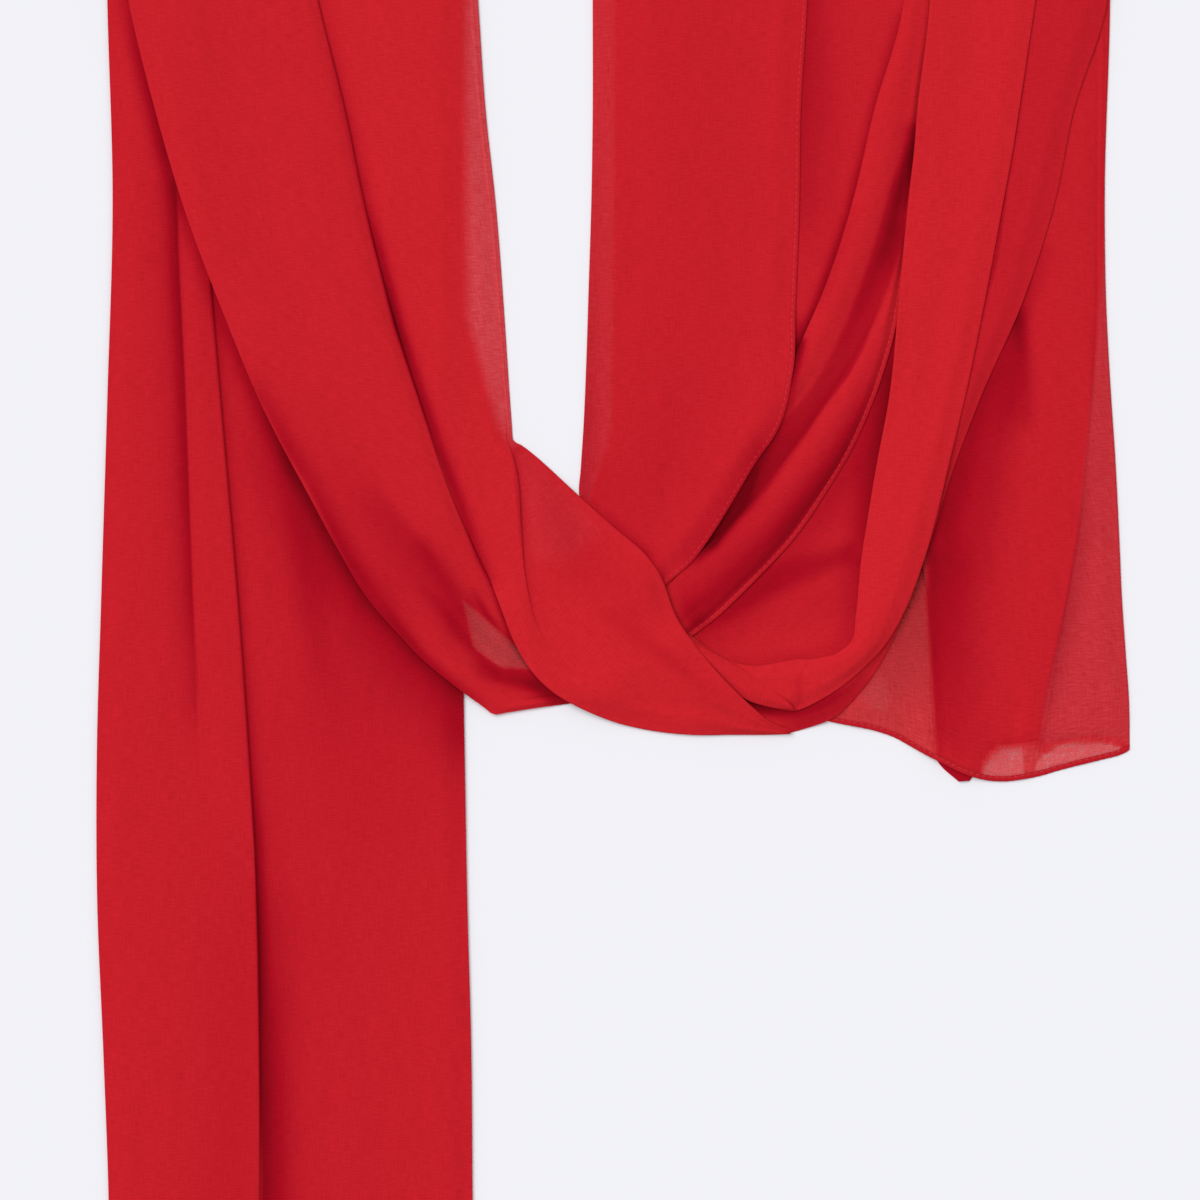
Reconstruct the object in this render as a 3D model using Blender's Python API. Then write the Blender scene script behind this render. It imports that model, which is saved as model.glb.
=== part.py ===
"""Red chiffon scarf, gathered lengthwise and laid flat on a table in a loop with one twist.

The cloth is one long rectangle with a narrow hem all round.  Two tails lie on the table, a long one on
the left and a short one on the right.  At the top each tail turns over into an arm of the loop, which
lies on it.  At the foot of the loop the left arm crosses over the right one, and the right arm's front
folds hang there as a small cowl.  Each stretch that shows is a solid of its own, and the layers hidden
inside a stretch share its thickness.

Lengths are millimetres everywhere but in `add_solid`, which writes metres.  +X is to the right, +Y
points from the foot of the loop to the turns, and the table is z = 0.
"""

import math
from dataclasses import dataclass

import bmesh
import bpy
import numpy as np

MM = 0.001

# Cloth
GAP = 0.3  # between pieces that touch
TAIL_PACK = 2.6  # the long tail's gathered layers
ARM_PACK = 2.4
PANEL_PACK = 1.8
FRONT_PACK = 2.0
SHORT_TAIL_PACK = 2.2
THIN_PACK = 1.2  # two or three layers pressed together
HEM_PACK = 1.4  # a hem is turned twice, so it stands a little proud of one layer
HEM_WIDTH = 3.0
CORNER_PACK = 1.0
CROWN = 0.35  # how far a stretch swells between its folds
STEP = 0.25  # half the width of the steep face at a fold

# Draping
SLOPE = 0.30  # cloth falls from a thick place no steeper than this
REACH = 2.5  # and stays level this far past it
PASSES = 4  # of smoothing, which bridges small hollows
INSIDE = 4  # places tried along each side of a face, to see that it lies clear

# Overall places
ARM_TOP = 334.7
TURN_DEPTH = 5.0
TAIL_END = -336.7
LEFT_TURN_SPAN = (-190.0, -55.5)
RIGHT_TURN_SPAN = (-7.0, 185.5)

# The map of heights covers the table under the scarf.
MAP_CELL = 1.0
MAP_HALF_WIDTH = 205.0
MAP_HALF_LENGTH = 350.0

# An edge seen in section, from the underside up: inset from the outline in mm, share of the thickness.
ROUND_EDGE = ((0.7, 0.0), (0.0, 0.32), (0.0, 0.68), (0.7, 1.0))
LAYERED_EDGE = ((0.8, 0.0), (0.0, 0.20), (0.9, 0.44), (0.5, 0.72), (1.7, 1.0))
EDGE_SHARE = 0.22  # of a narrow stretch's width, at most, taken by each edge


def table(columns, *rows):
    """Named columns of numbers, with one row for each section of a stretch."""
    return {name: np.array([row[i] for row in rows], float) for i, name in enumerate(columns.split())}


# The rows of a stretch run from the turns down.  left_ and right_ are the two ends of a section.  at_N
# is where fold N crosses it, as a share of its width.  At a step, before_N and after_N are how far the
# cloth just left and just right of it stands above the stretch's own level, and are 0 where not given.
# A soft fold has crest_N instead, the height of its crest or, below 0, of its valley.

LEFT_TAIL = table(
    "y       left    right  pleat_left  pleat_right  left_step  right_step",
    (334.7, -191.0, -61.0, -167.0, -159.0, 1.0, 1.0),
    (260.0, -190.0, -61.0, -166.0, -156.5, 1.0, 1.0),
    (185.0, -188.0, -59.5, -164.0, -153.5, 1.2, 1.2),
    (110.0, -189.5, -58.5, -160.5, -147.5, 1.4, 1.5),
    (35.0, -191.5, -57.0, -158.0, -141.0, 1.0, 1.6),
    (-21.0, -193.5, -56.0, -156.0, -137.0, 0.5, 1.7),
    (-77.5, -193.5, -55.0, -154.5, -134.0, 0.2, 1.7),
    (-134.0, -191.5, -53.5, -153.5, -133.0, 0.1, 1.7),
    (-190.0, -189.5, -53.0, -153.0, -133.0, 0.0, 1.6),
    (-250.0, -189.0, -52.0, -153.5, -133.5, 0.2, 1.4),
    (TAIL_END, -191.0, -50.0, -155.0, -135.0, 0.4, 1.2),
)

LEFT_OUTER_FOLD = table(
    "left_x  left_y  right_x  right_y  at_1  crest_1  at_2  crest_2",
    (-190.0, 334.7, -123.5, 334.7, 0.45, 0.0, 0.90, 0.5),
    (-187.5, 294.0, -118.0, 294.0, 0.45, 0.0, 0.90, 0.5),
    (-182.0, 260.0, -111.0, 260.0, 0.45, 0.0, 0.90, 0.6),
    (-171.5, 217.0, -100.5, 217.0, 0.45, 0.0, 0.90, 0.7),
    (-162.5, 185.0, -94.0, 185.5, 0.45, 0.0, 0.90, 0.9),
    (-147.0, 141.0, -82.0, 138.0, 0.45, 0.0, 0.90, 1.0),
    (-133.0, 110.0, -73.0, 110.0, 0.45, -0.1, 0.90, 0.9),
    (-114.0, 73.5, -61.0, 74.0, 0.45, -0.3, 0.88, 0.5),
    (-104.0, 55.0, -53.5, 56.5, 0.47, -0.45, 0.86, 0.3),
    (-92.0, 35.0, -46.8, 42.5, 0.50, -0.6, 0.84, 0.1),
    (-81.5, 23.0, -41.3, 31.0, 0.50, -0.7, 0.82, 0.0),
    (-71.0, 12.0, -35.5, 19.0, 0.50, -0.8, 0.80, -0.2),
    (-56.0, 0.0, -27.5, 9.5, 0.48, -0.9, 0.80, -0.2),
    (-45.0, -7.5, -22.5, 3.5, 0.45, -0.8, 0.80, 0.0),
    (-29.5, -5.5, -14.5, 3.5, 0.45, -0.5, 0.80, 0.0),
    (-14.5, -3.5, -5.0, 5.0, 0.50, 0.0, 0.80, 0.0),
    (-1.5, -1.5, 2.0, 7.0, 0.50, 0.0, 0.80, 0.0),
)

# over: 0 where this stretch lies beside the left arm's outer fold, 1 where it has crossed onto it.
CROSSING_FOLD = table(
    "left_x  left_y  right_x  right_y  at_1  before_1  after_1  over",
    (-123.0, 334.7, -55.0, 334.7, 0.93, 0.0, 0.0, 0.0),
    (-117.5, 294.0, -53.5, 294.0, 0.93, 0.0, 0.0, 0.0),
    (-110.5, 260.0, -51.0, 260.0, 0.93, 0.0, 0.0, 0.0),
    (-100.0, 217.0, -48.0, 217.0, 0.93, 0.0, 0.0, 0.0),
    (-93.5, 185.5, -44.5, 185.0, 0.93, 0.0, 0.0, 0.0),
    (-81.5, 138.0, -41.0, 140.0, 0.93, 0.0, 0.0, 0.0),
    (-72.5, 110.0, -39.0, 110.0, 0.93, 0.1, 0.0, 0.0),
    (-68.2, 97.0, -38.2, 99.5, 0.93, 0.3, 0.0, 0.0),
    (-67.0, 93.0, -37.8, 95.0, 0.92, 0.5, 0.0, 0.0),
    (-65.0, 87.5, -35.0, 93.3, 0.86, 0.8, -0.1, 0.0),
    (-60.5, 74.0, -29.0, 88.7, 0.75, 0.9, -0.2, 0.0),
    (-53.0, 56.5, -13.0, 74.0, 0.45, 1.0, -0.2, 0.0),
    (-46.5, 42.5, 1.0, 61.5, 0.27, 0.8, 0.0, 0.1),
    (-42.0, 31.0, 6.5, 57.0, 0.21, 0.6, 0.0, 1.0),
    (-38.0, 20.5, 11.5, 52.5, 0.18, 0.4, 0.1, 1.0),
    (-32.5, 10.5, 17.0, 45.0, 0.18, 0.1, 0.1, 1.0),
    (-20.0, -1.5, 23.0, 29.5, 0.30, 0.0, 0.0, 1.0),
    (-2.0, -10.0, 28.0, 21.5, 0.35, 0.0, 0.0, 1.0),
    (11.5, -13.5, 34.5, 13.0, 0.40, -0.1, -0.1, 1.0),
    (28.5, -15.5, 43.5, 3.0, 0.50, -0.2, -0.2, 1.0),
    (45.5, -15.5, 53.0, -5.0, 0.50, -0.1, -0.1, 1.0),
    (60.5, -15.5, 62.0, -12.0, 0.50, 0.0, 0.0, 1.0),
)

RIGHT_PANEL = table(
    "left_x  left_y  right_x  right_y",
    (-7.5, 334.7, 74.0, 334.7),
    (-8.0, 294.0, 73.5, 294.0),
    (-8.0, 260.0, 72.5, 260.0),
    (-8.0, 217.0, 70.0, 217.0),
    (-8.5, 185.0, 69.5, 181.5),
    (-9.5, 152.5, 68.0, 144.0),
    (-10.5, 121.5, 67.0, 120.5),
    (-11.5, 99.0, 61.5, 99.0),
    (-12.5, 84.0, 53.5, 85.5),
    (-13.0, 74.0, 45.5, 71.5),
    (-9.0, 63.0, 37.5, 59.0),
    (-3.5, 54.0, 29.0, 49.0),
    (3.0, 44.5, 20.0, 41.0),
    (6.0, 37.0, 15.5, 35.0),
)

UNDER_PANEL = table(
    "left_x  left_y  right_x  right_y",
    (60.0, 334.7, 112.0, 334.7),
    (61.0, 294.0, 113.0, 294.0),
    (61.0, 260.0, 114.0, 260.0),
    (60.0, 217.0, 103.0, 217.0),
    (59.0, 185.0, 95.0, 185.0),
    (57.0, 147.5, 83.0, 147.5),
    (55.0, 121.5, 74.0, 123.0),
    (52.0, 99.0, 64.0, 99.0),
)

# Fold 1 is the crest of the upper roll, 2 the valley between the rolls, 3 the crest of the lower roll
# and 4 the deep valley just before the hem.
SIDE_ROLLS = table(
    "left_x  left_y  right_x  right_y  at_1  crest_1  at_2  crest_2  at_3  crest_3  at_4  crest_4",
    (105.5, 334.7, 120.5, 334.7, 0.25, 0.3, 0.55, 0.0, 0.75, 0.0, 0.90, 0.0),
    (108.0, 294.0, 121.0, 294.0, 0.25, 0.3, 0.55, 0.0, 0.75, 0.0, 0.90, 0.0),
    (108.5, 260.0, 122.0, 260.0, 0.25, 0.5, 0.55, 0.0, 0.75, 0.0, 0.90, 0.0),
    (97.0, 217.0, 116.5, 217.0, 0.30, 0.9, 0.62, -0.2, 0.80, -0.4, 0.92, -0.4),
    (89.5, 185.0, 113.0, 185.0, 0.30, 1.2, 0.66, -0.4, 0.82, -0.4, 0.92, -0.5),
    (77.0, 147.5, 107.0, 145.5, 0.32, 1.3, 0.72, -0.6, 0.86, 0.4, 0.94, -0.2),
    (66.0, 123.0, 103.0, 129.0, 0.32, 1.2, 0.64, -0.7, 0.82, 1.3, 0.94, 0.2),
    (60.5, 110.0, 97.5, 112.5, 0.30, 1.0, 0.50, -0.8, 0.72, 1.7, 0.93, -0.1),
    (52.0, 95.0, 88.0, 92.0, 0.24, 0.7, 0.40, -0.9, 0.62, 2.0, 0.92, -0.4),
    (40.5, 80.0, 76.5, 75.0, 0.20, 0.3, 0.36, -0.9, 0.56, 2.1, 0.91, -0.5),
    (30.5, 67.0, 64.0, 59.5, 0.18, 0.0, 0.34, -0.8, 0.54, 1.9, 0.90, -0.5),
    (20.0, 55.5, 50.0, 43.5, 0.18, 0.0, 0.35, -0.5, 0.56, 1.3, 0.89, -0.4),
    (13.5, 47.0, 37.0, 29.5, 0.18, 0.0, 0.33, -0.2, 0.56, 0.6, 0.88, -0.2),
    (10.0, 37.0, 27.0, 20.5, 0.20, 0.0, 0.35, 0.0, 0.56, 0.1, 0.86, 0.0),
)

COWL_FLOOR = table(
    "left_x  left_y  right_x  right_y",
    (103.5, 147.5, 109.0, 147.5),
    (97.0, 130.5, 109.0, 129.0),
    (90.5, 112.0, 107.0, 110.0),
    (80.0, 95.0, 104.0, 91.5),
    (68.0, 76.5, 101.5, 72.5),
    (55.0, 61.5, 99.0, 54.0),
    (41.5, 46.5, 96.0, 35.0),
    (32.0, 37.0, 95.0, 24.0),
    (26.0, 27.5, 92.0, 14.5),
    (28.5, 16.5, 83.0, 9.5),
    (34.0, 12.0, 70.0, 5.0),
)

COWL_FOLD = table(
    "left_x  left_y  right_x  right_y",
    (115.5, 334.7, 168.0, 334.7),
    (118.0, 294.0, 163.5, 294.0),
    (119.0, 260.0, 158.0, 260.0),
    (113.0, 217.0, 151.5, 217.0),
    (109.0, 185.0, 146.0, 185.0),
    (106.5, 147.5, 139.0, 147.5),
    (103.0, 111.0, 131.5, 111.0),
    (98.0, 84.0, 125.0, 84.0),
    (95.0, 66.0, 121.0, 67.0),
    (92.5, 50.0, 116.0, 49.5),
    (90.5, 29.5, 107.0, 27.0),
    (89.0, 20.0, 101.0, 17.5),
    (84.0, 15.5, 95.0, 11.0),
    (79.0, 14.0, 86.5, 3.5),
    (74.0, 13.0, 78.0, -2.0),
    (68.5, 13.0, 68.0, -6.5),
    (60.5, 11.5, 58.0, -5.0),
    (52.0, 10.5, 48.0, -1.5),
    (43.0, 12.5, 40.5, 5.0),
    (34.5, 17.5, 32.0, 13.0),
    (28.5, 22.0, 26.0, 18.5),
)

COWL_LIP = table(
    "left_x  left_y  right_x  right_y",
    (66.5, -4.0, 67.5, -6.3),
    (59.0, 2.5, 58.0, -5.0),
    (50.0, 8.0, 48.0, -1.5),
    (41.5, 13.0, 40.5, 5.0),
    (32.5, 18.0, 32.0, 13.0),
    (26.5, 22.5, 26.0, 18.5),
)

OUTER_FOLD = table(
    "left_x  left_y  right_x  right_y",
    (139.0, 334.7, 186.0, 334.7),
    (145.0, 294.0, 186.0, 294.0),
    (148.5, 260.0, 185.0, 260.0),
    (143.0, 217.0, 172.0, 217.0),
    (137.0, 185.0, 165.5, 185.0),
    (130.0, 147.5, 153.5, 147.5),
    (122.0, 111.0, 137.5, 111.0),
    (116.5, 84.0, 127.0, 83.5),
    (109.0, 57.5, 118.0, 55.5),
    (100.0, 35.0, 109.5, 33.0),
    (92.0, 22.0, 104.5, 20.0),
    (83.0, 12.5, 98.5, 9.0),
    (73.5, 5.0, 91.0, -1.0),
    (62.0, 1.5, 82.5, -8.5),
    (51.0, 1.5, 73.5, -12.0),
    (40.5, 5.0, 63.0, -14.5),
    (32.0, 9.5, 51.0, -13.5),
)

# Fold 1 is the edge of the inner layers, beside which one layer lies alone, 2 a soft crease and 3 the
# edge of the strip that is only two layers thick.  dip: how far the end sags below a straight line.
RIGHT_TAIL = table(
    "left_x  left_y  right_x  right_y  at_1  before_1  at_2  before_2  at_3  after_3  dip",
    (4.0, 334.7, 186.0, 334.7, 0.40, 0.0, 0.75, 0.0, 0.96, 0.0, 0.0),
    (4.0, 294.0, 186.0, 294.0, 0.40, 0.0, 0.75, 0.0, 0.96, 0.0, 0.0),
    (5.0, 260.0, 186.0, 260.0, 0.40, 0.0, 0.76, 0.0, 0.96, 0.0, 0.0),
    (15.5, 185.0, 184.0, 185.0, 0.40, 0.0, 0.78, -0.1, 0.97, -0.4, 0.0),
    (25.0, 147.5, 184.5, 147.5, 0.40, 0.0, 0.80, -0.6, 0.97, -0.6, 0.0),
    (34.0, 117.5, 186.0, 117.5, 0.40, -0.2, 0.787, -0.6, 0.955, -0.8, 0.0),
    (45.5, 87.5, 188.0, 87.5, 0.40, -0.6, 0.77, -0.4, 0.92, -0.8, 0.0),
    (56.5, 57.5, 189.5, 57.5, 0.42, -1.2, 0.745, -0.1, 0.88, -0.8, 0.0),
    (66.0, 35.0, 190.5, 35.0, 0.416, -1.3, 0.70, 0.0, 0.834, -0.8, 0.0),
    (71.5, 16.5, 192.0, 13.5, 0.388, -1.3, 0.65, 0.0, 0.78, -0.8, 3.0),
    (75.0, 3.0, 193.0, -4.5, 0.374, -1.3, 0.62, 0.0, 0.733, -0.8, 9.0),
    (76.0, -2.7, 193.5, -19.0, 0.387, -1.3, 0.60, 0.0, 0.70, -0.9, 18.0),
)
DIP_SKEW = 1.2  # above 1, the lowest point lies right of the middle

UNDER_CORNER = table(
    "left_x  left_y  right_x  right_y",
    (117.0, -12.0, 134.5, -14.0),
    (120.0, -21.0, 135.0, -23.0),
    (123.5, -27.0, 134.3, -30.5),
    (129.8, -32.4, 133.0, -32.2),
)

# Colour of each stretch: a warmer red on top, darker where it is shaded, pinker where it is thin.
RED = (0.58, 0.018, 0.026)
BRIGHT_RED = (0.66, 0.022, 0.028)
DEEP_RED = (0.44, 0.010, 0.018)
PALE_RED = (0.62, 0.060, 0.075)
ROUGHNESS = 0.85


@dataclass
class Stretch:
    """One length of gathered cloth: its sections, with a ring for each, and how it is built up."""

    name: str
    sections: dict
    colour: tuple
    thickness: float
    spans: tuple  # points across each span between its edges and folds
    edge: tuple = ROUND_EDGE
    under: int = 4  # points across its underside, or 0 for one below each point of its top


def between(at, values, wanted):
    """Values on a smooth curve through those given, at wanted distances."""
    slope = np.gradient(values, at)
    low = np.clip(np.searchsorted(at, wanted, side="right") - 1, 0, len(at) - 2)
    run = at[low + 1] - at[low]
    t = (wanted - at[low]) / run
    return (
        (1 + 2 * t) * (1 - t) ** 2 * values[low]
        + t * (1 - t) ** 2 * run * slope[low]
        + t * t * (3 - 2 * t) * values[low + 1]
        - t * t * (1 - t) * run * slope[low + 1]
    )


def evenly(sections, count):
    """The sections again, smoothly joined and evenly spaced along both edges."""
    left = np.hypot(np.diff(sections["left_x"]), np.diff(sections["left_y"]))
    right = np.hypot(np.diff(sections["right_x"]), np.diff(sections["right_y"]))
    at = np.concatenate([[0.0], np.cumsum((left + right) / 2)])
    wanted = np.linspace(0.0, at[-1], count)
    return {name: between(at, values, wanted) for name, values in sections.items()}


def level_sections(rows):
    """The long tail's sections, which are level, with its pleat's edges as shares of the width."""
    width = rows["right"] - rows["left"]
    return {
        "left_x": rows["left"],
        "left_y": rows["y"],
        "right_x": rows["right"],
        "right_y": rows["y"],
        "at_1": (rows["pleat_left"] - rows["left"]) / width,
        "after_1": rows["left_step"],
        "at_2": (rows["pleat_right"] - rows["left"]) / width,
        "before_2": rows["right_step"],
    }


def narrowed(sections, by):
    """The sections with their right edge moved in, which leaves room for a hem."""
    width = np.hypot(sections["right_x"] - sections["left_x"], sections["right_y"] - sections["left_y"])
    share = 1 - by / width
    return {
        **sections,
        "right_x": sections["left_x"] + (sections["right_x"] - sections["left_x"]) * share,
        "right_y": sections["left_y"] + (sections["right_y"] - sections["left_y"]) * share,
    }


def side_hem(sections):
    """The hem along the right edge of a stretch."""
    inner = narrowed(sections, HEM_WIDTH)
    return {
        "left_x": inner["right_x"],
        "left_y": inner["right_y"],
        "right_x": sections["right_x"],
        "right_y": sections["right_y"],
    }


def dip_shape(share):
    """How far the flared end sags at a share of its width, from 0 at its corners to 1."""
    return math.sin(math.pi * share**DIP_SKEW) ** 2


def end_hem(tail):
    """The hem across the end of a tail, just past the points of its last section."""
    row = {name: values[-1] for name, values in tail.sections.items()}
    across = [0.0] + [distance for distance, _ in top_profile(tail, row)] + [section_width(row)]
    line = np.array([place(row, distance) for distance in across])
    inner = line[:, 1] - GAP
    return {"left_x": line[:, 0], "left_y": inner - HEM_WIDTH, "right_x": line[:, 0], "right_y": inner}


class Heap:
    """The height of what has been laid down so far, on a square grid over the table."""

    def __init__(self):
        size = (int(2 * MAP_HALF_LENGTH / MAP_CELL) + 1, int(2 * MAP_HALF_WIDTH / MAP_CELL) + 1)
        self.height = np.zeros(size)

    def copy(self):
        """The heap as it is now."""
        other = Heap()
        other.height = self.height.copy()
        return other

    def add(self, top):
        """Lay down a surface, given as rows of points."""
        for axis in (0, 1):
            step = np.linalg.norm(np.diff(top, axis=axis), axis=-1).max()
            top = denser(top, axis, int(math.ceil(step / (0.7 * MAP_CELL))))
        row = np.rint((top[..., 1] + MAP_HALF_LENGTH) / MAP_CELL).astype(int)
        column = np.rint((top[..., 0] + MAP_HALF_WIDTH) / MAP_CELL).astype(int)
        np.maximum.at(self.height, (row, column), top[..., 2])

    def resting(self):
        """The surface on which the next piece lies: clear of the heap and nowhere steeper than SLOPE."""
        surface = np.where(self.height > 0, self.height + GAP, 0.0)
        reach = int(math.ceil(REACH / MAP_CELL))
        widest = surface
        for down in range(-reach, reach + 1):
            for along in range(-reach, reach + 1):
                if math.hypot(down, along) * MAP_CELL <= REACH:
                    widest = np.maximum(widest, moved(surface, down, along))
        surface = widest
        for _ in range(int(surface.max() / (SLOPE * MAP_CELL)) + 1):
            for down, along in ((0, 1), (0, -1), (1, 0), (-1, 0), (1, 1), (1, -1), (-1, 1), (-1, -1)):
                fall = SLOPE * MAP_CELL * math.hypot(down, along)
                surface = np.maximum(surface, moved(surface, down, along) - fall)
        return surface


def denser(grid, axis, factor):
    """A grid of numbers or points with more of them along one axis."""
    grid = np.moveaxis(grid, axis, 0)
    at = np.linspace(0, len(grid) - 1, (len(grid) - 1) * factor + 1)
    low = np.minimum(at.astype(int), len(grid) - 2)
    share = (at - low).reshape(-1, *[1] * (grid.ndim - 1))
    return np.moveaxis(grid[low] * (1 - share) + grid[low + 1] * share, 0, axis)


def moved(surface, down, along):
    """A map shifted by whole cells, with nothing coming in at its edges."""
    other = np.zeros_like(surface)
    rows, columns = surface.shape
    other[max(down, 0) : rows + min(down, 0), max(along, 0) : columns + min(along, 0)] = surface[
        max(-down, 0) : rows + min(-down, 0), max(-along, 0) : columns + min(-along, 0)
    ]
    return other


def height_at(surface, x, y):
    """A map's height at given places, between its cells."""
    row = (y + MAP_HALF_LENGTH) / MAP_CELL
    column = (x + MAP_HALF_WIDTH) / MAP_CELL
    top, left = np.floor(row).astype(int), np.floor(column).astype(int)
    down, along = row - top, column - left
    return (
        surface[top, left] * (1 - down) * (1 - along)
        + surface[top, left + 1] * (1 - down) * along
        + surface[top + 1, left] * down * (1 - along)
        + surface[top + 1, left + 1] * down * along
    )


def smoothed(height):
    """Heights on a grid, each drawn to the mean of its neighbours, as cloth bridges small hollows."""
    wide = np.pad(height, 1, mode="edge")
    return (wide[:-2, 1:-1] + wide[2:, 1:-1] + wide[1:-1, :-2] + wide[1:-1, 2:]) / 4


def finer(grid):
    """A grid with more values between each two, along both axes."""
    return denser(denser(grid, 0, INSIDE), 1, INSIDE)


def settled(x, y, surface):
    """Heights for a grid of places, smooth, whose faces lie clear of the resting surface."""
    needed = height_at(surface, finer(x), finer(y))
    lowest = height_at(surface, x, y)
    height = lowest
    for _ in range(PASSES):
        height = lifted(np.maximum(smoothed(height), lowest), needed)
    return height


def lifted(height, needed):
    """The heights raised just enough that no face between them dips below what is needed."""
    short = np.maximum(needed - finer(height), 0.0)
    raised = np.zeros_like(height)
    for i in range(height.shape[0] - 1):
        for j in range(height.shape[1] - 1):
            rows = slice(i * INSIDE, (i + 1) * INSIDE + 1)
            columns = slice(j * INSIDE, (j + 1) * INSIDE + 1)
            most = short[rows, columns].max()
            raised[i : i + 2, j : j + 2] = np.maximum(raised[i : i + 2, j : j + 2], most)
    return height + raised


def section_width(row):
    """The distance between the two edges of a section."""
    return math.hypot(row["right_x"] - row["left_x"], row["right_y"] - row["left_y"])


def edge_scale(stretch, row):
    """How far the edge's shape is drawn in, so that it fits a narrow section."""
    deepest = max(inset for inset, _ in stretch.edge)
    return min(1.0, EDGE_SHARE * section_width(row) / deepest)


def place(row, across):
    """The point of the plan at a distance across a section."""
    share = across / section_width(row)
    x = row["left_x"] + (row["right_x"] - row["left_x"]) * share
    y = row["left_y"] + (row["right_y"] - row["left_y"]) * share
    return x, y - row.get("dip", 0.0) * dip_shape(share)


def folds_of(stretch, row):
    """(distance across, height before, height after) of each fold of a section."""
    width = section_width(row)
    folds = []
    for number in range(1, len(stretch.spans)):
        crest = row.get(f"crest_{number}")
        before = row.get(f"before_{number}", 0.0) if crest is None else crest
        after = row.get(f"after_{number}", 0.0) if crest is None else crest
        folds.append((row[f"at_{number}"] * width, before, after, crest is None))
    return folds


def top_profile(stretch, row):
    """(distance across, height above the stretch's own level) of each point of a section's top."""
    width = section_width(row)
    inset = stretch.edge[-1][0] * edge_scale(stretch, row)
    half_step = min(STEP, 0.01 * width)
    points = [(inset, 0.0)]
    folds = folds_of(stretch, row) + [(width - inset, 0.0, 0.0, False)]
    for (at, before, after, is_step), inside in zip(folds, stretch.spans):
        start, begin = points[-1]
        finish = at - half_step if is_step else at
        for i in range(1, inside + 1):
            t = i / (inside + 1)
            blend = t * t * (3 - 2 * t)
            swell = CROWN * math.sin(math.pi * t)
            points.append((start + (finish - start) * t, begin + (before - begin) * blend + swell))
        points.append((finish, before))
        if is_step:
            points.append((at + half_step, after))
    return points


def underside(stretch, rows, resting):
    """(distances across, heights) of the underside at each station."""
    across, x, y = [], [], []
    for row in rows:
        inset = stretch.edge[0][0] * edge_scale(stretch, row)
        line = np.linspace(inset, section_width(row) - inset, stretch.under)
        if not stretch.under:
            line = np.array([distance for distance, _ in top_profile(stretch, row)])
        spots = [place(row, distance) for distance in line]
        across.append(line)
        x.append([spot[0] for spot in spots])
        y.append([spot[1] for spot in spots])
    heights = [settled(np.array(x), np.array(y), surface) for surface in resting]
    over = np.array([row.get("over", 1.0) for row in rows])[:, None]
    return np.array(across), heights[0] * (1 - over) + heights[-1] * over


def ring(stretch, row, across, heights):
    """One closed section: up the left edge, over the top, down the right edge and back underneath."""
    width = section_width(row)
    scale = edge_scale(stretch, row)
    up = [(inset * scale, share * stretch.thickness) for inset, share in stretch.edge[:-1]]
    top = [(distance, stretch.thickness + rise) for distance, rise in top_profile(stretch, row)]
    down = [(width - distance, rise) for distance, rise in reversed(up)]
    under = [(distance, 0.0) for distance in across[-2:0:-1]]
    points = []
    for distance, rise in up + top + down + under:
        x, y = place(row, distance)
        points.append((x, y, float(np.interp(distance, across, heights)) + rise))
    return np.array(points), len(up), len(top)


def rings_of(stretch, resting):
    """The rings of a stretch, the faces that close its ends, and the grid of points on its top."""
    columns = stretch.sections
    rows = [{name: values[i] for name, values in columns.items()} for i in range(len(columns["left_x"]))]
    across, heights = underside(stretch, rows, resting)
    found = [ring(stretch, row, across[i], heights[i]) for i, row in enumerate(rows)]
    rings = np.array([points for points, _, _ in found])
    _, rise, count = found[0]
    return rings, cap_faces(stretch, rings.shape[1], rise, count), rings[:, rise - 1 : rise + count + 1]


def cap_faces(stretch, size, rise, count):
    """The faces that close an end: one, or a strip of them where the end is curved in plan."""
    if stretch.under:
        return [range(size)]
    top = range(rise, rise + count)
    bottom = [0, *range(size - 1, size + 1 - count, -1), 2 * rise + count - 1]
    strip = [(top[i], top[i + 1], bottom[i + 1], bottom[i]) for i in range(count - 1)]
    return [range(rise + 1), *strip, range(rise + count - 1, 2 * rise + count)]


def add_solid(name, colour, rings, caps):
    """A closed mesh through rings of points, with the same faces closing each end."""
    mesh = bpy.data.meshes.new(name)
    shape = bmesh.new()
    grid = [[shape.verts.new(tuple(point * MM)) for point in points] for points in rings]
    size = len(grid[0])
    for near, far in zip(grid, grid[1:]):
        for i in range(size):
            j = (i + 1) % size
            shape.faces.new((near[i], near[j], far[j], far[i]))
    for end in (grid[0], grid[-1]):
        for corners in caps:
            shape.faces.new([end[corner] for corner in corners])
    bmesh.ops.recalc_face_normals(shape, faces=shape.faces[:])
    shape.to_mesh(mesh)
    shape.free()
    mesh.shade_smooth()
    mesh.set_sharp_from_angle(angle=math.radians(50))
    material = bpy.data.materials.new(name + "_cloth")
    material.use_nodes = True
    finish = material.node_tree.nodes["Principled BSDF"]
    finish.inputs["Base Color"].default_value = (*colour, 1.0)
    finish.inputs["Roughness"].default_value = ROUGHNESS
    finish.inputs["Metallic"].default_value = 0.0
    mesh.materials.append(material)
    solid = bpy.data.objects.new(name, mesh)
    bpy.data.collections["chiffon_scarf"].objects.link(solid)
    return solid


def lay(heap, *stretches, beneath=None):
    """Lay stretches side by side on the heap, then make them part of it.

    beneath is the heap before the neighbour that the first stretch lies beside was laid.
    """
    resting = [heap.resting()]
    if beneath is not None:
        resting.insert(0, beneath.resting())
    for stretch in stretches:
        rings, caps, top = rings_of(stretch, resting)
        add_solid(stretch.name, stretch.colour, rings, caps)
        heap.add(top)


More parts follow.
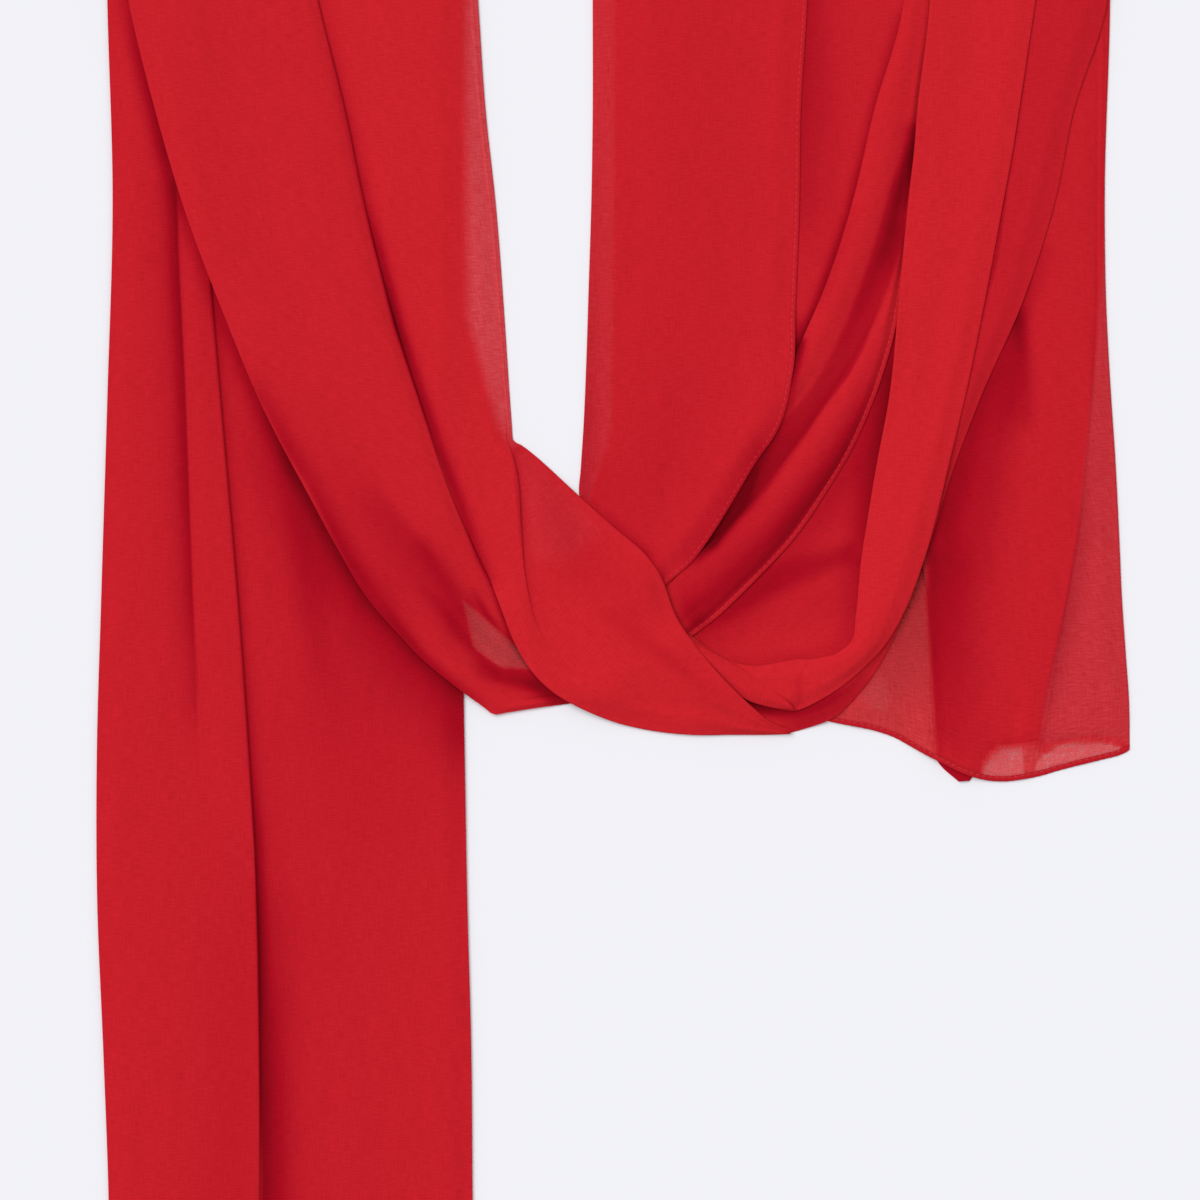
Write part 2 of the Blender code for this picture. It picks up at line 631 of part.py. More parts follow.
def add_turn(name, heap, span, stations=22, round_points=7):
    """The fold at the top of an arm, where its layers turn over into the tail: half round in section."""
    xs = np.linspace(*span, stations)
    line = np.full(stations, ARM_TOP - 2.0)
    height = height_at(heap.height, xs, line)
    for _ in range(PASSES):
        wide = np.pad(height, 1, mode="edge")
        height = (wide[:-2] + wide[1:-1] + wide[2:]) / 3
    rings = []
    for x, tall in zip(xs, height):
        points = []
        for angle in np.linspace(-math.pi / 2, math.pi / 2, round_points):
            y = ARM_TOP + GAP + TURN_DEPTH * math.cos(angle)
            points.append((x, y, tall / 2 * (1 + math.sin(angle))))
        rings.append(points)
    add_solid(name, RED, np.array(rings), [range(round_points)])


def clear_scene():
    """Remove what the file starts with."""
    for thing in list(bpy.data.objects):
        bpy.data.objects.remove(thing, do_unlink=True)
    collection = bpy.data.collections.new("chiffon_scarf")
    bpy.context.scene.collection.children.link(collection)


def main():
    """Lay the scarf down from the table up."""
    clear_scene()
    heap = Heap()

    long_tail = evenly(level_sections(LEFT_TAIL), 26)
    long_tail = Stretch("left_tail", long_tail, RED, TAIL_PACK, (3, 2, 5), LAYERED_EDGE)
    lay(heap, long_tail, Stretch("left_tail_hem", end_hem(long_tail), DEEP_RED, HEM_PACK, (1,), under=2))
    lay(heap, Stretch("under_corner", evenly(UNDER_CORNER, 6), DEEP_RED, CORNER_PACK, (2,), under=2))
    short_tail = evenly(RIGHT_TAIL, 25)
    short_tail = Stretch("right_tail", short_tail, RED, SHORT_TAIL_PACK, (4, 3, 2, 2), under=0)
    lay(heap, short_tail, Stretch("right_tail_hem", end_hem(short_tail), DEEP_RED, HEM_PACK, (1,), under=2))
    lay(heap, Stretch("outer_fold", evenly(OUTER_FOLD, 38), RED, PANEL_PACK, (4,), under=5))
    lay(heap, Stretch("under_panel", evenly(UNDER_PANEL, 16), PALE_RED, THIN_PACK, (3,)))
    lay(heap, Stretch("cowl_floor", evenly(COWL_FLOOR, 16), DEEP_RED, THIN_PACK, (4,)))
    rolls = evenly(SIDE_ROLLS, 34)
    lay(
        heap,
        Stretch("side_rolls", narrowed(rolls, HEM_WIDTH + GAP), RED, PANEL_PACK, (1, 1, 1, 2, 0), under=6),
        Stretch("side_rolls_hem", side_hem(rolls), DEEP_RED, HEM_PACK, (1,), under=2),
    )
    panel = evenly(RIGHT_PANEL, 32)
    lay(
        heap,
        Stretch("right_panel", narrowed(panel, HEM_WIDTH + GAP), RED, PANEL_PACK, (6,), under=7),
        Stretch("right_panel_hem", side_hem(panel), DEEP_RED, HEM_PACK, (1,), under=2),
    )
    lay(heap, Stretch("cowl_fold", evenly(COWL_FOLD, 42), BRIGHT_RED, FRONT_PACK, (4,), under=5))
    lay(heap, Stretch("cowl_lip", evenly(COWL_LIP, 12), BRIGHT_RED, THIN_PACK, (2,), under=3))
    before_arm = heap.copy()
    outer = evenly(LEFT_OUTER_FOLD, 36)
    lay(heap, Stretch("left_outer_fold", outer, RED, ARM_PACK, (3, 3, 1), LAYERED_EDGE, under=7))
    crossing = evenly(CROSSING_FOLD, 46)
    lay(
        heap,
        Stretch("crossing_fold", crossing, BRIGHT_RED, ARM_PACK, (4, 3), LAYERED_EDGE, under=7),
        beneath=before_arm,
    )
    add_turn("left_turn", heap, LEFT_TURN_SPAN)
    add_turn("right_turn", heap, RIGHT_TURN_SPAN)


main()
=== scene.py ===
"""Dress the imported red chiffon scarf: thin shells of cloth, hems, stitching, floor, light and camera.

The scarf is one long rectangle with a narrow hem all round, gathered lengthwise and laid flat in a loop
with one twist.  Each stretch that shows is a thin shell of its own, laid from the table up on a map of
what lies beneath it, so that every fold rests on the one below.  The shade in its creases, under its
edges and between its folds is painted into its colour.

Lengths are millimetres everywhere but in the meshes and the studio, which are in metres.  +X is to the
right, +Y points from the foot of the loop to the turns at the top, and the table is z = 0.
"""

import logging
import math
from copy import deepcopy
from dataclasses import dataclass, field
from enum import Enum

import bpy
import numpy as np
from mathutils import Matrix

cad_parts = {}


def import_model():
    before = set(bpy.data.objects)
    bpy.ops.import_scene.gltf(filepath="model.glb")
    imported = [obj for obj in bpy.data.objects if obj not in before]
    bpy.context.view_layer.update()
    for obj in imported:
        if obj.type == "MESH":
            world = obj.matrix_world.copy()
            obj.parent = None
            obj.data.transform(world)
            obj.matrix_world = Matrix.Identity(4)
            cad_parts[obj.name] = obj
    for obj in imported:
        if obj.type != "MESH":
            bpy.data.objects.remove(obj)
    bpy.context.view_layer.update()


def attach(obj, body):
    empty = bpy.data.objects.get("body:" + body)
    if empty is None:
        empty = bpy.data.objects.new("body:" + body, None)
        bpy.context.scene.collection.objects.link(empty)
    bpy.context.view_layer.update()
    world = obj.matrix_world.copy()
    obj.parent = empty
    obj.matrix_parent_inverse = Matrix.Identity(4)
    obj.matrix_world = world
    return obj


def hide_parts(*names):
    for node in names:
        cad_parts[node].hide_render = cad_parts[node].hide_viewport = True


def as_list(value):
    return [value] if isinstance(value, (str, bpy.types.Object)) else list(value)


LOG = logging.getLogger("scarf")
MM = 0.001

Array = np.ndarray
Sections = dict[str, Array]
Block = tuple[Array, Array, Array]  # distances across, shares of the thickness, heights above the level
Colour = tuple[float, float, float]
Socket = bpy.types.NodeSocket
Piece = bpy.types.Object

GAP = 0.3  # between pieces that touch
ARM_TOP = 334.7  # where the arms begin, below the turns
SHELL = 0.25  # thickness of the modelled cloth
HEM_WIDTH = 3.0
CORNER = 1.6  # radius of a tail's corners
STITCH_PITCH = 2.5
EDGE_ROOM = 0.9  # from a shell's edge to where a hem rests on it
END_ROOM = 0.2  # from a tail's side to where the hem across its end starts
END_PITCH = 1.5
HEM_LAP = 0.4  # how far that hem laps over the cloth
CLOSER = 2.4  # how many times closer the sections lie at an end that needs it
SHEER_LEAST = 0.02  # a face that is more sheer than this takes the single layer's finish
BARE_REACH = 3.0  # how far around a single layer the stretch has no underside
UNDERSIDE = 0.1  # share of the thickness below which a point counts as the underside
# Slubs, yarns and crepe: the size of a grain across and along, any finer detail, and the share.
WEAVE = (((4.2, 0.42), 0.42), ((0.40, 6.5), 0.33), ((0.50, 0.50, 2.0), 0.25))


def table(columns: str, *rows: tuple[float, ...]) -> Sections:
    """Give a class a table of sizes with named columns.

    Args:
        columns: The names of the columns, parted by spaces.
        *rows: A row of numbers for each section of a stretch, from the turns down.

    Returns:
        A field that holds an array of values for each name.
    """
    return field(default_factory=lambda: dict(zip(columns.split(), np.array(rows, float).T)))


def between(at: Array, values: Array, wanted: Array) -> Array:
    """Read a smooth curve through given values.

    Args:
        at: Where the values are given, rising.
        values: The values there.
        wanted: Where the curve is read.

    Returns:
        The values of the curve at the wanted places.
    """
    slope = np.gradient(values, at)
    low = np.clip(np.searchsorted(at, wanted, side="right") - 1, 0, len(at) - 2)
    run = at[low + 1] - at[low]
    t = (wanted - at[low]) / run
    return (
        (1 + 2 * t) * (1 - t) ** 2 * values[low]
        + t * (1 - t) ** 2 * run * slope[low]
        + t * t * (3 - 2 * t) * values[low + 1]
        - t * t * (1 - t) * run * slope[low + 1]
    )


def evenly(sections: Sections, pitch: float, fine: float) -> Sections:
    """Place sections evenly along both edges of a stretch, smoothly joined.

    Args:
        sections: The sections as they are given.
        pitch: The distance wanted between sections.
        fine: The length at its end where they lie closer.

    Returns:
        The finer sections, with their distance down the stretch as along.
    """
    left = np.hypot(np.diff(sections["left_x"]), np.diff(sections["left_y"]))
    right = np.hypot(np.diff(sections["right_x"]), np.diff(sections["right_y"]))
    at = np.concatenate([[0.0], np.cumsum((left + right) / 2)])
    coarse = at[-1] - fine
    wanted = np.linspace(0.0, coarse, int(math.ceil(coarse / pitch)) + 1)
    if fine:
        closer = np.linspace(coarse, at[-1], int(math.ceil(CLOSER * fine / pitch)) + 1)
        wanted = np.concatenate([wanted, closer[1:]])
    finer = {name: between(at, values, wanted) for name, values in sections.items()}
    return {**finer, "along": wanted}


def eased(t: Array) -> Array:
    """Go smoothly from 0 to 1."""
    t = np.clip(t, 0.0, 1.0)
    return t * t * (3 - 2 * t)


def together(values: list[Array], shape: tuple[int, ...]) -> Array:
    """Join shares of shade so that they add up softly and never pass 1.

    Args:
        values: The shares, each an array of them.
        shape: The shape of the arrays.

    Returns:
        The joined share at each place.
    """
    left = np.ones(shape)
    for value in values:
        left = left * (1 - np.clip(value, 0.0, 1.0))
    return 1 - left


def denser(grid: Array, axis: int, factor: int) -> Array:
    """Split each step along one axis of a grid into several.

    Args:
        grid: The grid.
        axis: The axis.
        factor: How many steps come from one.

    Returns:
        The finer grid, read straight between the given points.
    """
    grid = np.moveaxis(grid, axis, 0)
    at = np.linspace(0, len(grid) - 1, (len(grid) - 1) * factor + 1)
    low = np.minimum(at.astype(int), len(grid) - 2)
    share = (at - low).reshape(-1, *[1] * (grid.ndim - 1))
    return np.moveaxis(grid[low] * (1 - share) + grid[low + 1] * share, 0, axis)


@dataclass
class Heap:
    """The height of what has been laid down so far, on a square grid over the table."""

    cell: float = 1.0
    half_width: float = 205.0
    half_length: float = 350.0
    slope: float = 0.30  # cloth falls from a thick place no steeper than this
    reach: float = 2.5  # and stays level this far past it
    spreads: tuple[float, ...] = (5.0, 4.0, 3.0, 2.0)  # of the rounds that bridge small hollows
    last_spread: float = 1.2
    sampling: float = 0.7  # the step at which it reads a surface, in cells

    def __post_init__(self) -> None:
        """Start with the bare table."""
        sides = (int(2 * half / self.cell) + 1 for half in (self.half_length, self.half_width))
        self.height = np.zeros(tuple(sides))

    def add(self, top: Array) -> None:
        """Lay down a surface.

        Args:
            top: Its points, in rows and columns.
        """
        for axis in (0, 1):
            step = np.linalg.norm(np.diff(top, axis=axis), axis=-1).max()
            top = denser(top, axis, int(math.ceil(step / (self.sampling * self.cell))))
        row = np.rint((top[..., 1] + self.half_length) / self.cell).astype(int)
        column = np.rint((top[..., 0] + self.half_width) / self.cell).astype(int)
        inside = (row >= 0) & (row < self.height.shape[0])
        np.maximum.at(self.height, (row[inside], column[inside]), top[..., 2][inside])

    @staticmethod
    def moved(surface: Array, down: int, along: int) -> Array:
        """Shift a map by whole cells, with nothing coming in at its edges."""
        wide = np.pad(surface, ((max(down, 0), max(-down, 0)), (max(along, 0), max(-along, 0))))
        return wide[max(-down, 0) :, max(-along, 0) :][: surface.shape[0], : surface.shape[1]]

    def blurred(self, surface: Array, spread: float) -> Array:
        """Soften a map.

        Args:
            surface: The map.
            spread: How far each height spreads, in mm.

        Returns:
            The softer map.
        """
        reach = int(math.ceil(2.5 * spread / self.cell))
        steps = np.arange(-reach, reach + 1)
        weights = np.exp(-0.5 * (steps * self.cell / spread) ** 2)
        weights /= weights.sum()
        wide = np.pad(surface, reach, mode="edge")
        rows, columns = surface.shape
        down = sum(w * wide[reach + s : reach + s + rows] for w, s in zip(weights, steps))
        return sum(w * down[:, reach + s : reach + s + columns] for w, s in zip(weights, steps))

    def resting(self) -> Array:
        """Find the surface on which the next piece lies.

        Returns:
            A map that is clear of the heap, nowhere steep and nowhere sharp.
        """
        surface = widest = np.where(self.height > 0, self.height + GAP, 0.0)
        cells = int(math.ceil(self.reach / self.cell))
        near = range(-cells, cells + 1)
        for down, along in ((down, along) for down in near for along in near):
            if math.hypot(down, along) * self.cell <= self.reach:
                widest = np.maximum(widest, self.moved(surface, down, along))
        surface = widest
        ways = ((0, 1), (0, -1), (1, 0), (-1, 0), (1, 1), (1, -1), (-1, 1), (-1, -1))
        for _ in range(int(surface.max() / (self.slope * self.cell)) + 1):
            for down, along in ways:
                fall = self.slope * self.cell * math.hypot(down, along)
                surface = np.maximum(surface, self.moved(surface, down, along) - fall)
        lowest = surface
        for spread in self.spreads:
            surface = np.maximum(self.blurred(surface, spread), lowest)
        return self.blurred(surface, self.last_spread)

    def height_at(self, surface: Array, x: Array, y: Array) -> Array:
        """Read a map between its cells.

        Args:
            surface: The map.
            x: Places along X.
            y: Places along Y.

        Returns:
            The heights there.
        """
        row = np.clip((y + self.half_length) / self.cell, 0, surface.shape[0] - 1.001)
        column = np.clip((x + self.half_width) / self.cell, 0, surface.shape[1] - 1.001)
        top, left = np.floor(row).astype(int), np.floor(column).astype(int)
        down, along = row - top, column - left
        return (
            surface[top, left] * (1 - down) * (1 - along)
            + surface[top, left + 1] * (1 - down) * along
            + surface[top + 1, left] * down * (1 - along)
            + surface[top + 1, left + 1] * down * along
        )


def beside(
    x: Array, y: Array, start: tuple[float, ...], end: tuple[float, ...]
) -> tuple[Array, Array, Array]:
    """Measure places against a straight run.

    Args:
        x: Places along X.
        y: Places along Y.
        start: Where the run starts, its first two numbers being X and Y.
        end: Where it ends.

    Returns:
        The share of the run at its point nearest to each place, and the way from there along X and Y.
    """
    run_x, run_y = end[0] - start[0], end[1] - start[1]
    length = run_x * run_x + run_y * run_y
    t = np.clip(((x - start[0]) * run_x + (y - start[1]) * run_y) / length, 0.0, 1.0)
    return t, x - start[0] - t * run_x, y - start[1] - t * run_y


@dataclass(frozen=True)
class ShadedCrease:
    """A line of painted shade along a crease, fold or overlapping edge, sunk as a soft valley where it has
    depth.
    """

    left: float  # how far it reaches to the left of a line that runs down from the turns
    right: float
    depth: float  # how much lower the cloth lies where the strength is 1
    dark: float  # share of the strength that is painted as shade
    line: tuple[tuple[float, float, float], ...]  # x, y and the strength there

    def at(self, x: Array, y: Array) -> Array:
        """Read its strength at places on the table.

        Args:
            x: Places along X.
            y: Places along Y.

        Returns:
            The strength at each place.
        """
        nearest, strength, side = np.full(x.shape, np.inf), np.zeros(x.shape), np.ones(x.shape)
        for start, end in zip(self.line, self.line[1:]):
            t, off_x, off_y = beside(x, y, start, end)
            far = np.hypot(off_x, off_y)
            closer = far < nearest
            nearest = np.where(closer, far, nearest)
            strength = np.where(closer, start[2] + (end[2] - start[2]) * eased(t), strength)
            side = np.where(closer, (end[0] - start[0]) * off_y - (end[1] - start[1]) * off_x, side)
        spread = np.where(side > 0, self.right, self.left)
        return strength * np.exp(-((nearest / spread) ** 2))


@dataclass(frozen=True)
class Patch:
    """A place on the cloth with given corners, and a soft border."""

    strength: float
    soft: float
    corners: tuple[tuple[float, float], ...]

    def at(self, x: Array, y: Array) -> Array:
        """Read its strength: full well inside, 0 outside and between them across the border."""
        return self.strength * eased(0.5 + self.depth(x, y) / self.soft)

    def depth(self, x: Array, y: Array) -> Array:
        """Measure how far inside the border places lie.

        Args:
            x: Places along X.
            y: Places along Y.

        Returns:
            The distance of each from the border, below 0 outside it.
        """
        nearest, inside = np.full(x.shape, np.inf), np.zeros(x.shape, bool)
        for (ax, ay), (bx, by) in zip(self.corners, self.corners[1:] + self.corners[:1]):
            _, off_x, off_y = beside(x, y, (ax, ay), (bx, by))
            nearest = np.minimum(nearest, np.hypot(off_x, off_y))
            if by != ay:
                inside ^= ((ay > y) != (by > y)) & (x < ax + (y - ay) * (bx - ax) / (by - ay))
        return np.where(inside, nearest, -nearest)


def read_shaded_creases(*rows: tuple) -> tuple[ShadedCrease, ...]:
    """Read rows of left, right, depth and dark, each followed by the points of the line."""
    return tuple(ShadedCrease(*row[:4], row[4:]) for row in rows)


def patched(*rows: tuple) -> tuple[Patch, ...]:
    """Read rows of strength and soft, each followed by the corners."""
    return tuple(Patch(*row[:2], row[2:]) for row in rows)


@dataclass(frozen=True)
class Ripple:
    """The slight unevenness of cloth that lies gathered, in streaks along its length."""

    seed: int
    height: float
    widths: tuple[float, ...] = (7.0, 11.0, 17.0, 27.0)
    lengths: tuple[float, float] = (5.0, 9.0)  # of a streak, in its widths
    sway: float = 1.6  # how far a streak wanders to the side
    fading: float = 0.45  # how far it fades on its way
    fade_length: float = 1.7  # over how many of its lengths

    def at(self, across: Array, along: Array) -> Array:
        """Read how far the cloth stands up or down.

        Args:
            across: Distances across the stretch.
            along: Distances down it.

        Returns:
            The height there.
        """
        draw = np.random.default_rng(self.seed)
        total = np.zeros(np.broadcast(across, along).shape)
        for width in self.widths:
            start, sway, phase, swell = draw.uniform(0.0, math.tau, 4)
            long = width * draw.uniform(*self.lengths)
            bend = self.sway * np.sin(math.tau * along / long + sway)
            swell = np.sin(math.tau * along / (self.fade_length * long) + swell)
            fade = 1 - self.fading + self.fading * swell
            total = total + fade * np.sin(math.tau * across / width + start + bend + phase)
        return self.height * total


class NodeTree:
    """A material's nodes, added and joined in few words."""

    def __init__(self, name: str) -> None:
        """Start a material.

        Args:
            name: The name of the material.
        """
        self.material = bpy.data.materials.new(name)
        self.material.use_nodes = True
        self.tree = self.material.node_tree
        self.finish = self.tree.nodes["Principled BSDF"]

    def add(self, kind: str, **settings: object) -> bpy.types.Node:
        """Add a node.

        Args:
            kind: The kind of node.
            **settings: The node's own settings, by name.

        Returns:
            The node.
        """
        node = self.tree.nodes.new(kind)
        for setting, value in settings.items():
            setattr(node, setting, value)
        return node

    def feed(self, node: bpy.types.Node, sources: dict[str | int, object]) -> bpy.types.Node:
        """Give the sockets of a node what they take.

        Args:
            node: The node.
            sources: A number, a colour or another node's output for each socket, by name or place.

        Returns:
            The node.
        """
        for socket, source in sources.items():
            if isinstance(source, Socket):
                self.tree.links.new(source, node.inputs[socket])
            else:
                node.inputs[socket].default_value = source
        return node

    def math(self, operation: str, *numbers: object) -> Socket:
        """Join numbers with an operation."""
        node = self.add("ShaderNodeMath", operation=operation)
        return self.feed(node, dict(enumerate(numbers))).outputs[0]

    def mixed(self, share: object, first: object, second: object, blend: str = "MIX") -> Socket:
        """Mix two colours, with a share of the second from 0 to 1."""
        node = self.add("ShaderNodeMix", data_type="RGBA", blend_type=blend)
        return self.feed(node, {0: share, 6: first, 7: second}).outputs[2]

    def ramp(self, share: Socket, *colours: Colour) -> Socket:
        """Go through colours at even steps, as a share rises from 0 to 1.

        Args:
            share: The share.
            *colours: The colours, from the first to the last.

        Returns:
            The colour at the share.
        """
        node = self.feed(self.add("ShaderNodeValToRGB"), {0: share})
        stops = node.color_ramp.elements
        for place in np.linspace(0.0, 1.0, len(colours))[1:-1]:
            stops.new(place)
        for stop, colour in zip(stops, colours):
            stop.color = (*colour, 1.0)
        return node.outputs[0]

    def attribute(self, name: str) -> Socket:
        """Read a number kept on the mesh."""
        return self.add("ShaderNodeAttribute", attribute_name=name).outputs["Fac"]

    def bump(self, height: Socket, strength: float, distance: float) -> Socket:
        """Tilt the surface as if it rose with a height, by a distance in mm."""
        sources = {"Height": height, "Strength": strength, "Distance": distance * MM}
        return self.feed(self.add("ShaderNodeBump"), sources).outputs[0]

    def noise(self, across: float, along: float, detail: float = 1.0) -> Socket:
        """Uneven grain laid along the cloth.

        Args:
            across: The size of a grain across the stretch, in mm.
            along: Its size down the stretch, in mm.
            detail: How much finer grain it holds.

        Returns:
            The grain, around a half.
        """
        place = self.add("ShaderNodeUVMap", uv_map="cloth").outputs[0]
        size = self.feed(self.add("ShaderNodeMapping"), {0: place, "Scale": (1 / across, 1 / along, 1.0)})
        grain = self.add("ShaderNodeTexNoise", noise_dimensions="2D")
        return self.feed(grain, {"Vector": size.outputs[0], "Scale": 1.0, "Detail": detail}).outputs[0]


@dataclass(frozen=True)
class Finish:
    """The look of a surface, whose material is made once."""

    name: str

    def material(self) -> bpy.types.Material:
        """Make the material, or give the one already made.

        Returns:
            The material.
        """
        made = bpy.data.materials.get(self.name)
        if made is None:
            nodes = NodeTree(self.name)
            nodes.feed(nodes.finish, self.sockets(nodes))
            made = nodes.material
        return made

    def sockets(self, nodes: NodeTree) -> dict[str, object]:
        """Say what each socket of the surface takes."""
        raise NotImplementedError


@dataclass(frozen=True)
class Chiffon(Finish):
    """Matte crepe chiffon, several layers deep: its reds with their painted shade, its uneven yarns and its
    faint bloom.
    """

    colour: Colour = (0.592, 0.0150, 0.0236)
    half_shade: Colour = (0.390, 0.0028, 0.0128)  # painted half shade, as red as light that has met red twice
    # painted full shade
    deep: Colour = (0.165, 0.0004, 0.0045)
    thin: Colour = (0.680, 0.0900, 0.1060)
    see_through: float = 0.0  # share of light that one surface of a single layer lets by
    grain: Colour = (0.24, 0.60, 0.60)  # how far the yarns vary each part of the colour
    relief: float = 0.35

    def sockets(self, nodes: NodeTree) -> dict[str, object]:
        """Weave the yarns and the crepe, and colour them by the painted shade and the thinness kept on the
        mesh.

        Args:
            nodes: The material's nodes.

        Returns:
            What each socket of the surface takes.
        """
        weave = 0.0
        for size, share in WEAVE:
            weave = nodes.math("MULTIPLY_ADD", nodes.noise(*size), share, weave)
        mottle = nodes.math("MULTIPLY_ADD", nodes.noise(9.0, 26.0, 2.0), 0.05, 0.975)
        shade, thin = nodes.attribute("shade"), nodes.attribute("thin")
        # painted shade darkens the thin colour too, down to a quarter of it
        thin_shaded = tuple(0.25 * part for part in self.thin)
        speckle = nodes.mixed(weave, (1.0, 0.2, 0.2, 1.0), (1.0, 1.8, 1.8, 1.0))
        pale = nodes.mixed(1.0, nodes.mixed(shade, (*self.thin, 1.0), (*thin_shaded, 1.0)), speckle, "MULTIPLY")
        # the red goes through its painted half shade to its painted full shade as the painted shade rises
        cloth = nodes.mixed(thin, nodes.ramp(shade, self.colour, self.half_shade, self.deep), pale)
        low, high = ((*(1.0 + side * part for part in self.grain), 1.0) for side in (-1, 1))
        for tone in (nodes.mixed(weave, low, high), mottle):
            cloth = nodes.mixed(1.0, cloth, tone, "MULTIPLY")
        sockets = {
            "Base Color": cloth,
            "Normal": nodes.bump(weave, self.relief, 0.12),
            "Roughness": 0.88,
            "Specular IOR Level": 0.04,
            "Sheen Weight": 0.02,
            "Sheen Roughness": 0.5,
            "Sheen Tint": (1.0, 0.55, 0.55, 1.0),
        }
        if self.see_through:
            gaps = nodes.math("MULTIPLY_ADD", weave, -1.6 * self.see_through, 1.8 * self.see_through)
            let_by = nodes.math("MULTIPLY", gaps, nodes.math("MULTIPLY", thin, thin))
            sockets["Alpha"] = nodes.math("SUBTRACT", 1.0, let_by)
        return sockets


@dataclass(frozen=True)
class Thread(Finish):
    """Polyester sewing thread, a little glossier than the cloth, with a fine twist."""

    colour: Colour = (0.70, 0.044, 0.054)
    shade: Colour = (0.50, 0.016, 0.026)
    # painted full shade, which the stitching takes with its hem
    deep: Colour = (0.30, 0.004, 0.010)

    def sockets(self, nodes: NodeTree) -> dict[str, object]:
        """Twist the thread, and darken it with the painted shade that its hem takes from the cloth.

        Args:
            nodes: The material's nodes.

        Returns:
            What each socket of the surface takes.
        """
        twist = nodes.noise(0.5, 0.12)
        thread = nodes.mixed(twist, (*self.shade, 1.0), (*self.colour, 1.0))
        return {
            "Base Color": nodes.mixed(nodes.attribute("shade"), thread, (*self.deep, 1.0)),
            "Normal": nodes.bump(twist, 0.5, 0.05),
            "Roughness": 0.55,
            "Specular IOR Level": 0.35,
        }


RED = Chiffon("chiffon_red")
SHEER = Chiffon(
    "chiffon_single_layer", thin=(0.900, 0.052, 0.062), see_through=0.52, grain=(0.16, 0.60, 0.60)
)
HEMMED = Chiffon("chiffon_hem", colour=(0.560, 0.0140, 0.0225))
ROLLED = Chiffon("chiffon_rolled_hem", colour=(0.480, 0.0110, 0.0200))
THREAD = Thread("sewing_thread")


class EdgeForm(Enum):
    """A long edge in section, from the underside up: inset in mm and share of the thickness."""

    ROUND = ((0.30, 0.0), (0.02, 0.06), (0.0, 0.26), (0.10, 0.55), (0.34, 0.84), (0.80, 1.0))
    # Its lowest layer runs on under the stretch beside it.
    LAPPED = (
        *((-2.2, 0.0), (-2.6, 0.09), (-2.2, 0.18), (-0.2, 0.20), (0.12, 0.30)),
        *((0.00, 0.55), (0.00, 0.80), (0.12, 0.94), (0.42, 1.0)),
    )
    LAYERED = (
        *((0.90, 0.0), (0.50, 0.04), (0.38, 0.14), (0.50, 0.25), (0.95, 0.30), (0.85, 0.36), (0.70, 0.47)),
        *((0.85, 0.58), (1.00, 0.63), (0.35, 0.68), (0.04, 0.78), (0.02, 0.88), (0.22, 0.96), (0.60, 1.0)),
    )

    def scale(self, width: Array) -> Array:
        """How far the form is drawn in at each section, so that it fits a narrow one."""
        return np.minimum(1.0, 0.2 * width / max(inset for inset, _ in self.value))


@dataclass(frozen=True)
class Turn:
    """The fold at the top of an arm, where its cloth turns over and goes on as the tail below it."""

    node: str  # the solid that it stands for
    axis: float  # the height about which it turns
    reach: float  # from there to the top of the stack
    depth: float = 5.1  # how far it stands beyond the arm
    room: float = 0.15  # between its lowest layer and the table
    least: float = 0.02  # how far the cloth stands from the axis at least
    steps: int = 12

    def wrapped(self, first: Array) -> Array:
        """Turn the first section of an arm over.

        Args:
            first: The points of that section.

        Returns:
            Rows of points from the far end of the turn back to the arm.
        """
        share = np.maximum(first[:, 2] - self.axis, self.least) / self.reach
        rows = []
        for angle in np.linspace(math.pi, 0.0, self.steps + 1)[:-1]:
            tall = self.reach if angle < math.pi / 2 else self.axis - self.room
            y = ARM_TOP + self.depth * share * math.sin(angle)
            rows.append(np.stack([first[:, 0], y, self.axis + share * tall * math.cos(angle)], axis=1))
        return np.array(rows)


RIGHT_TURN = Turn("right_turn", axis=2.4, reach=5.4)
LEFT_TURN = Turn("left_turn", axis=2.75, reach=4.2)


def add_piece(name: str, mesh: bpy.types.Mesh, nodes: tuple[str, ...]) -> Piece:
    """Put a piece in the scene, on the scarf's only body.

    Args:
        name: Its name.
        mesh: Its mesh.
        nodes: The solids that it stands for.

    Returns:
        The piece.
    """
    mesh.name = name
    piece = bpy.data.objects.new(name, mesh)
    bpy.context.scene.collection.objects.link(piece)
    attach(piece, "root")
    if nodes:
        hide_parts(*nodes)
    return piece


def give_values(mesh: bpy.types.Mesh, name: str, values: Array) -> None:
    """Give each point of a mesh a value from 0 to 1, under a name that its finish reads."""
    held = mesh.attributes.new(name, "FLOAT", "POINT")
    held.data.foreach_set("value", np.clip(values, 0.0, 1.0).ravel())


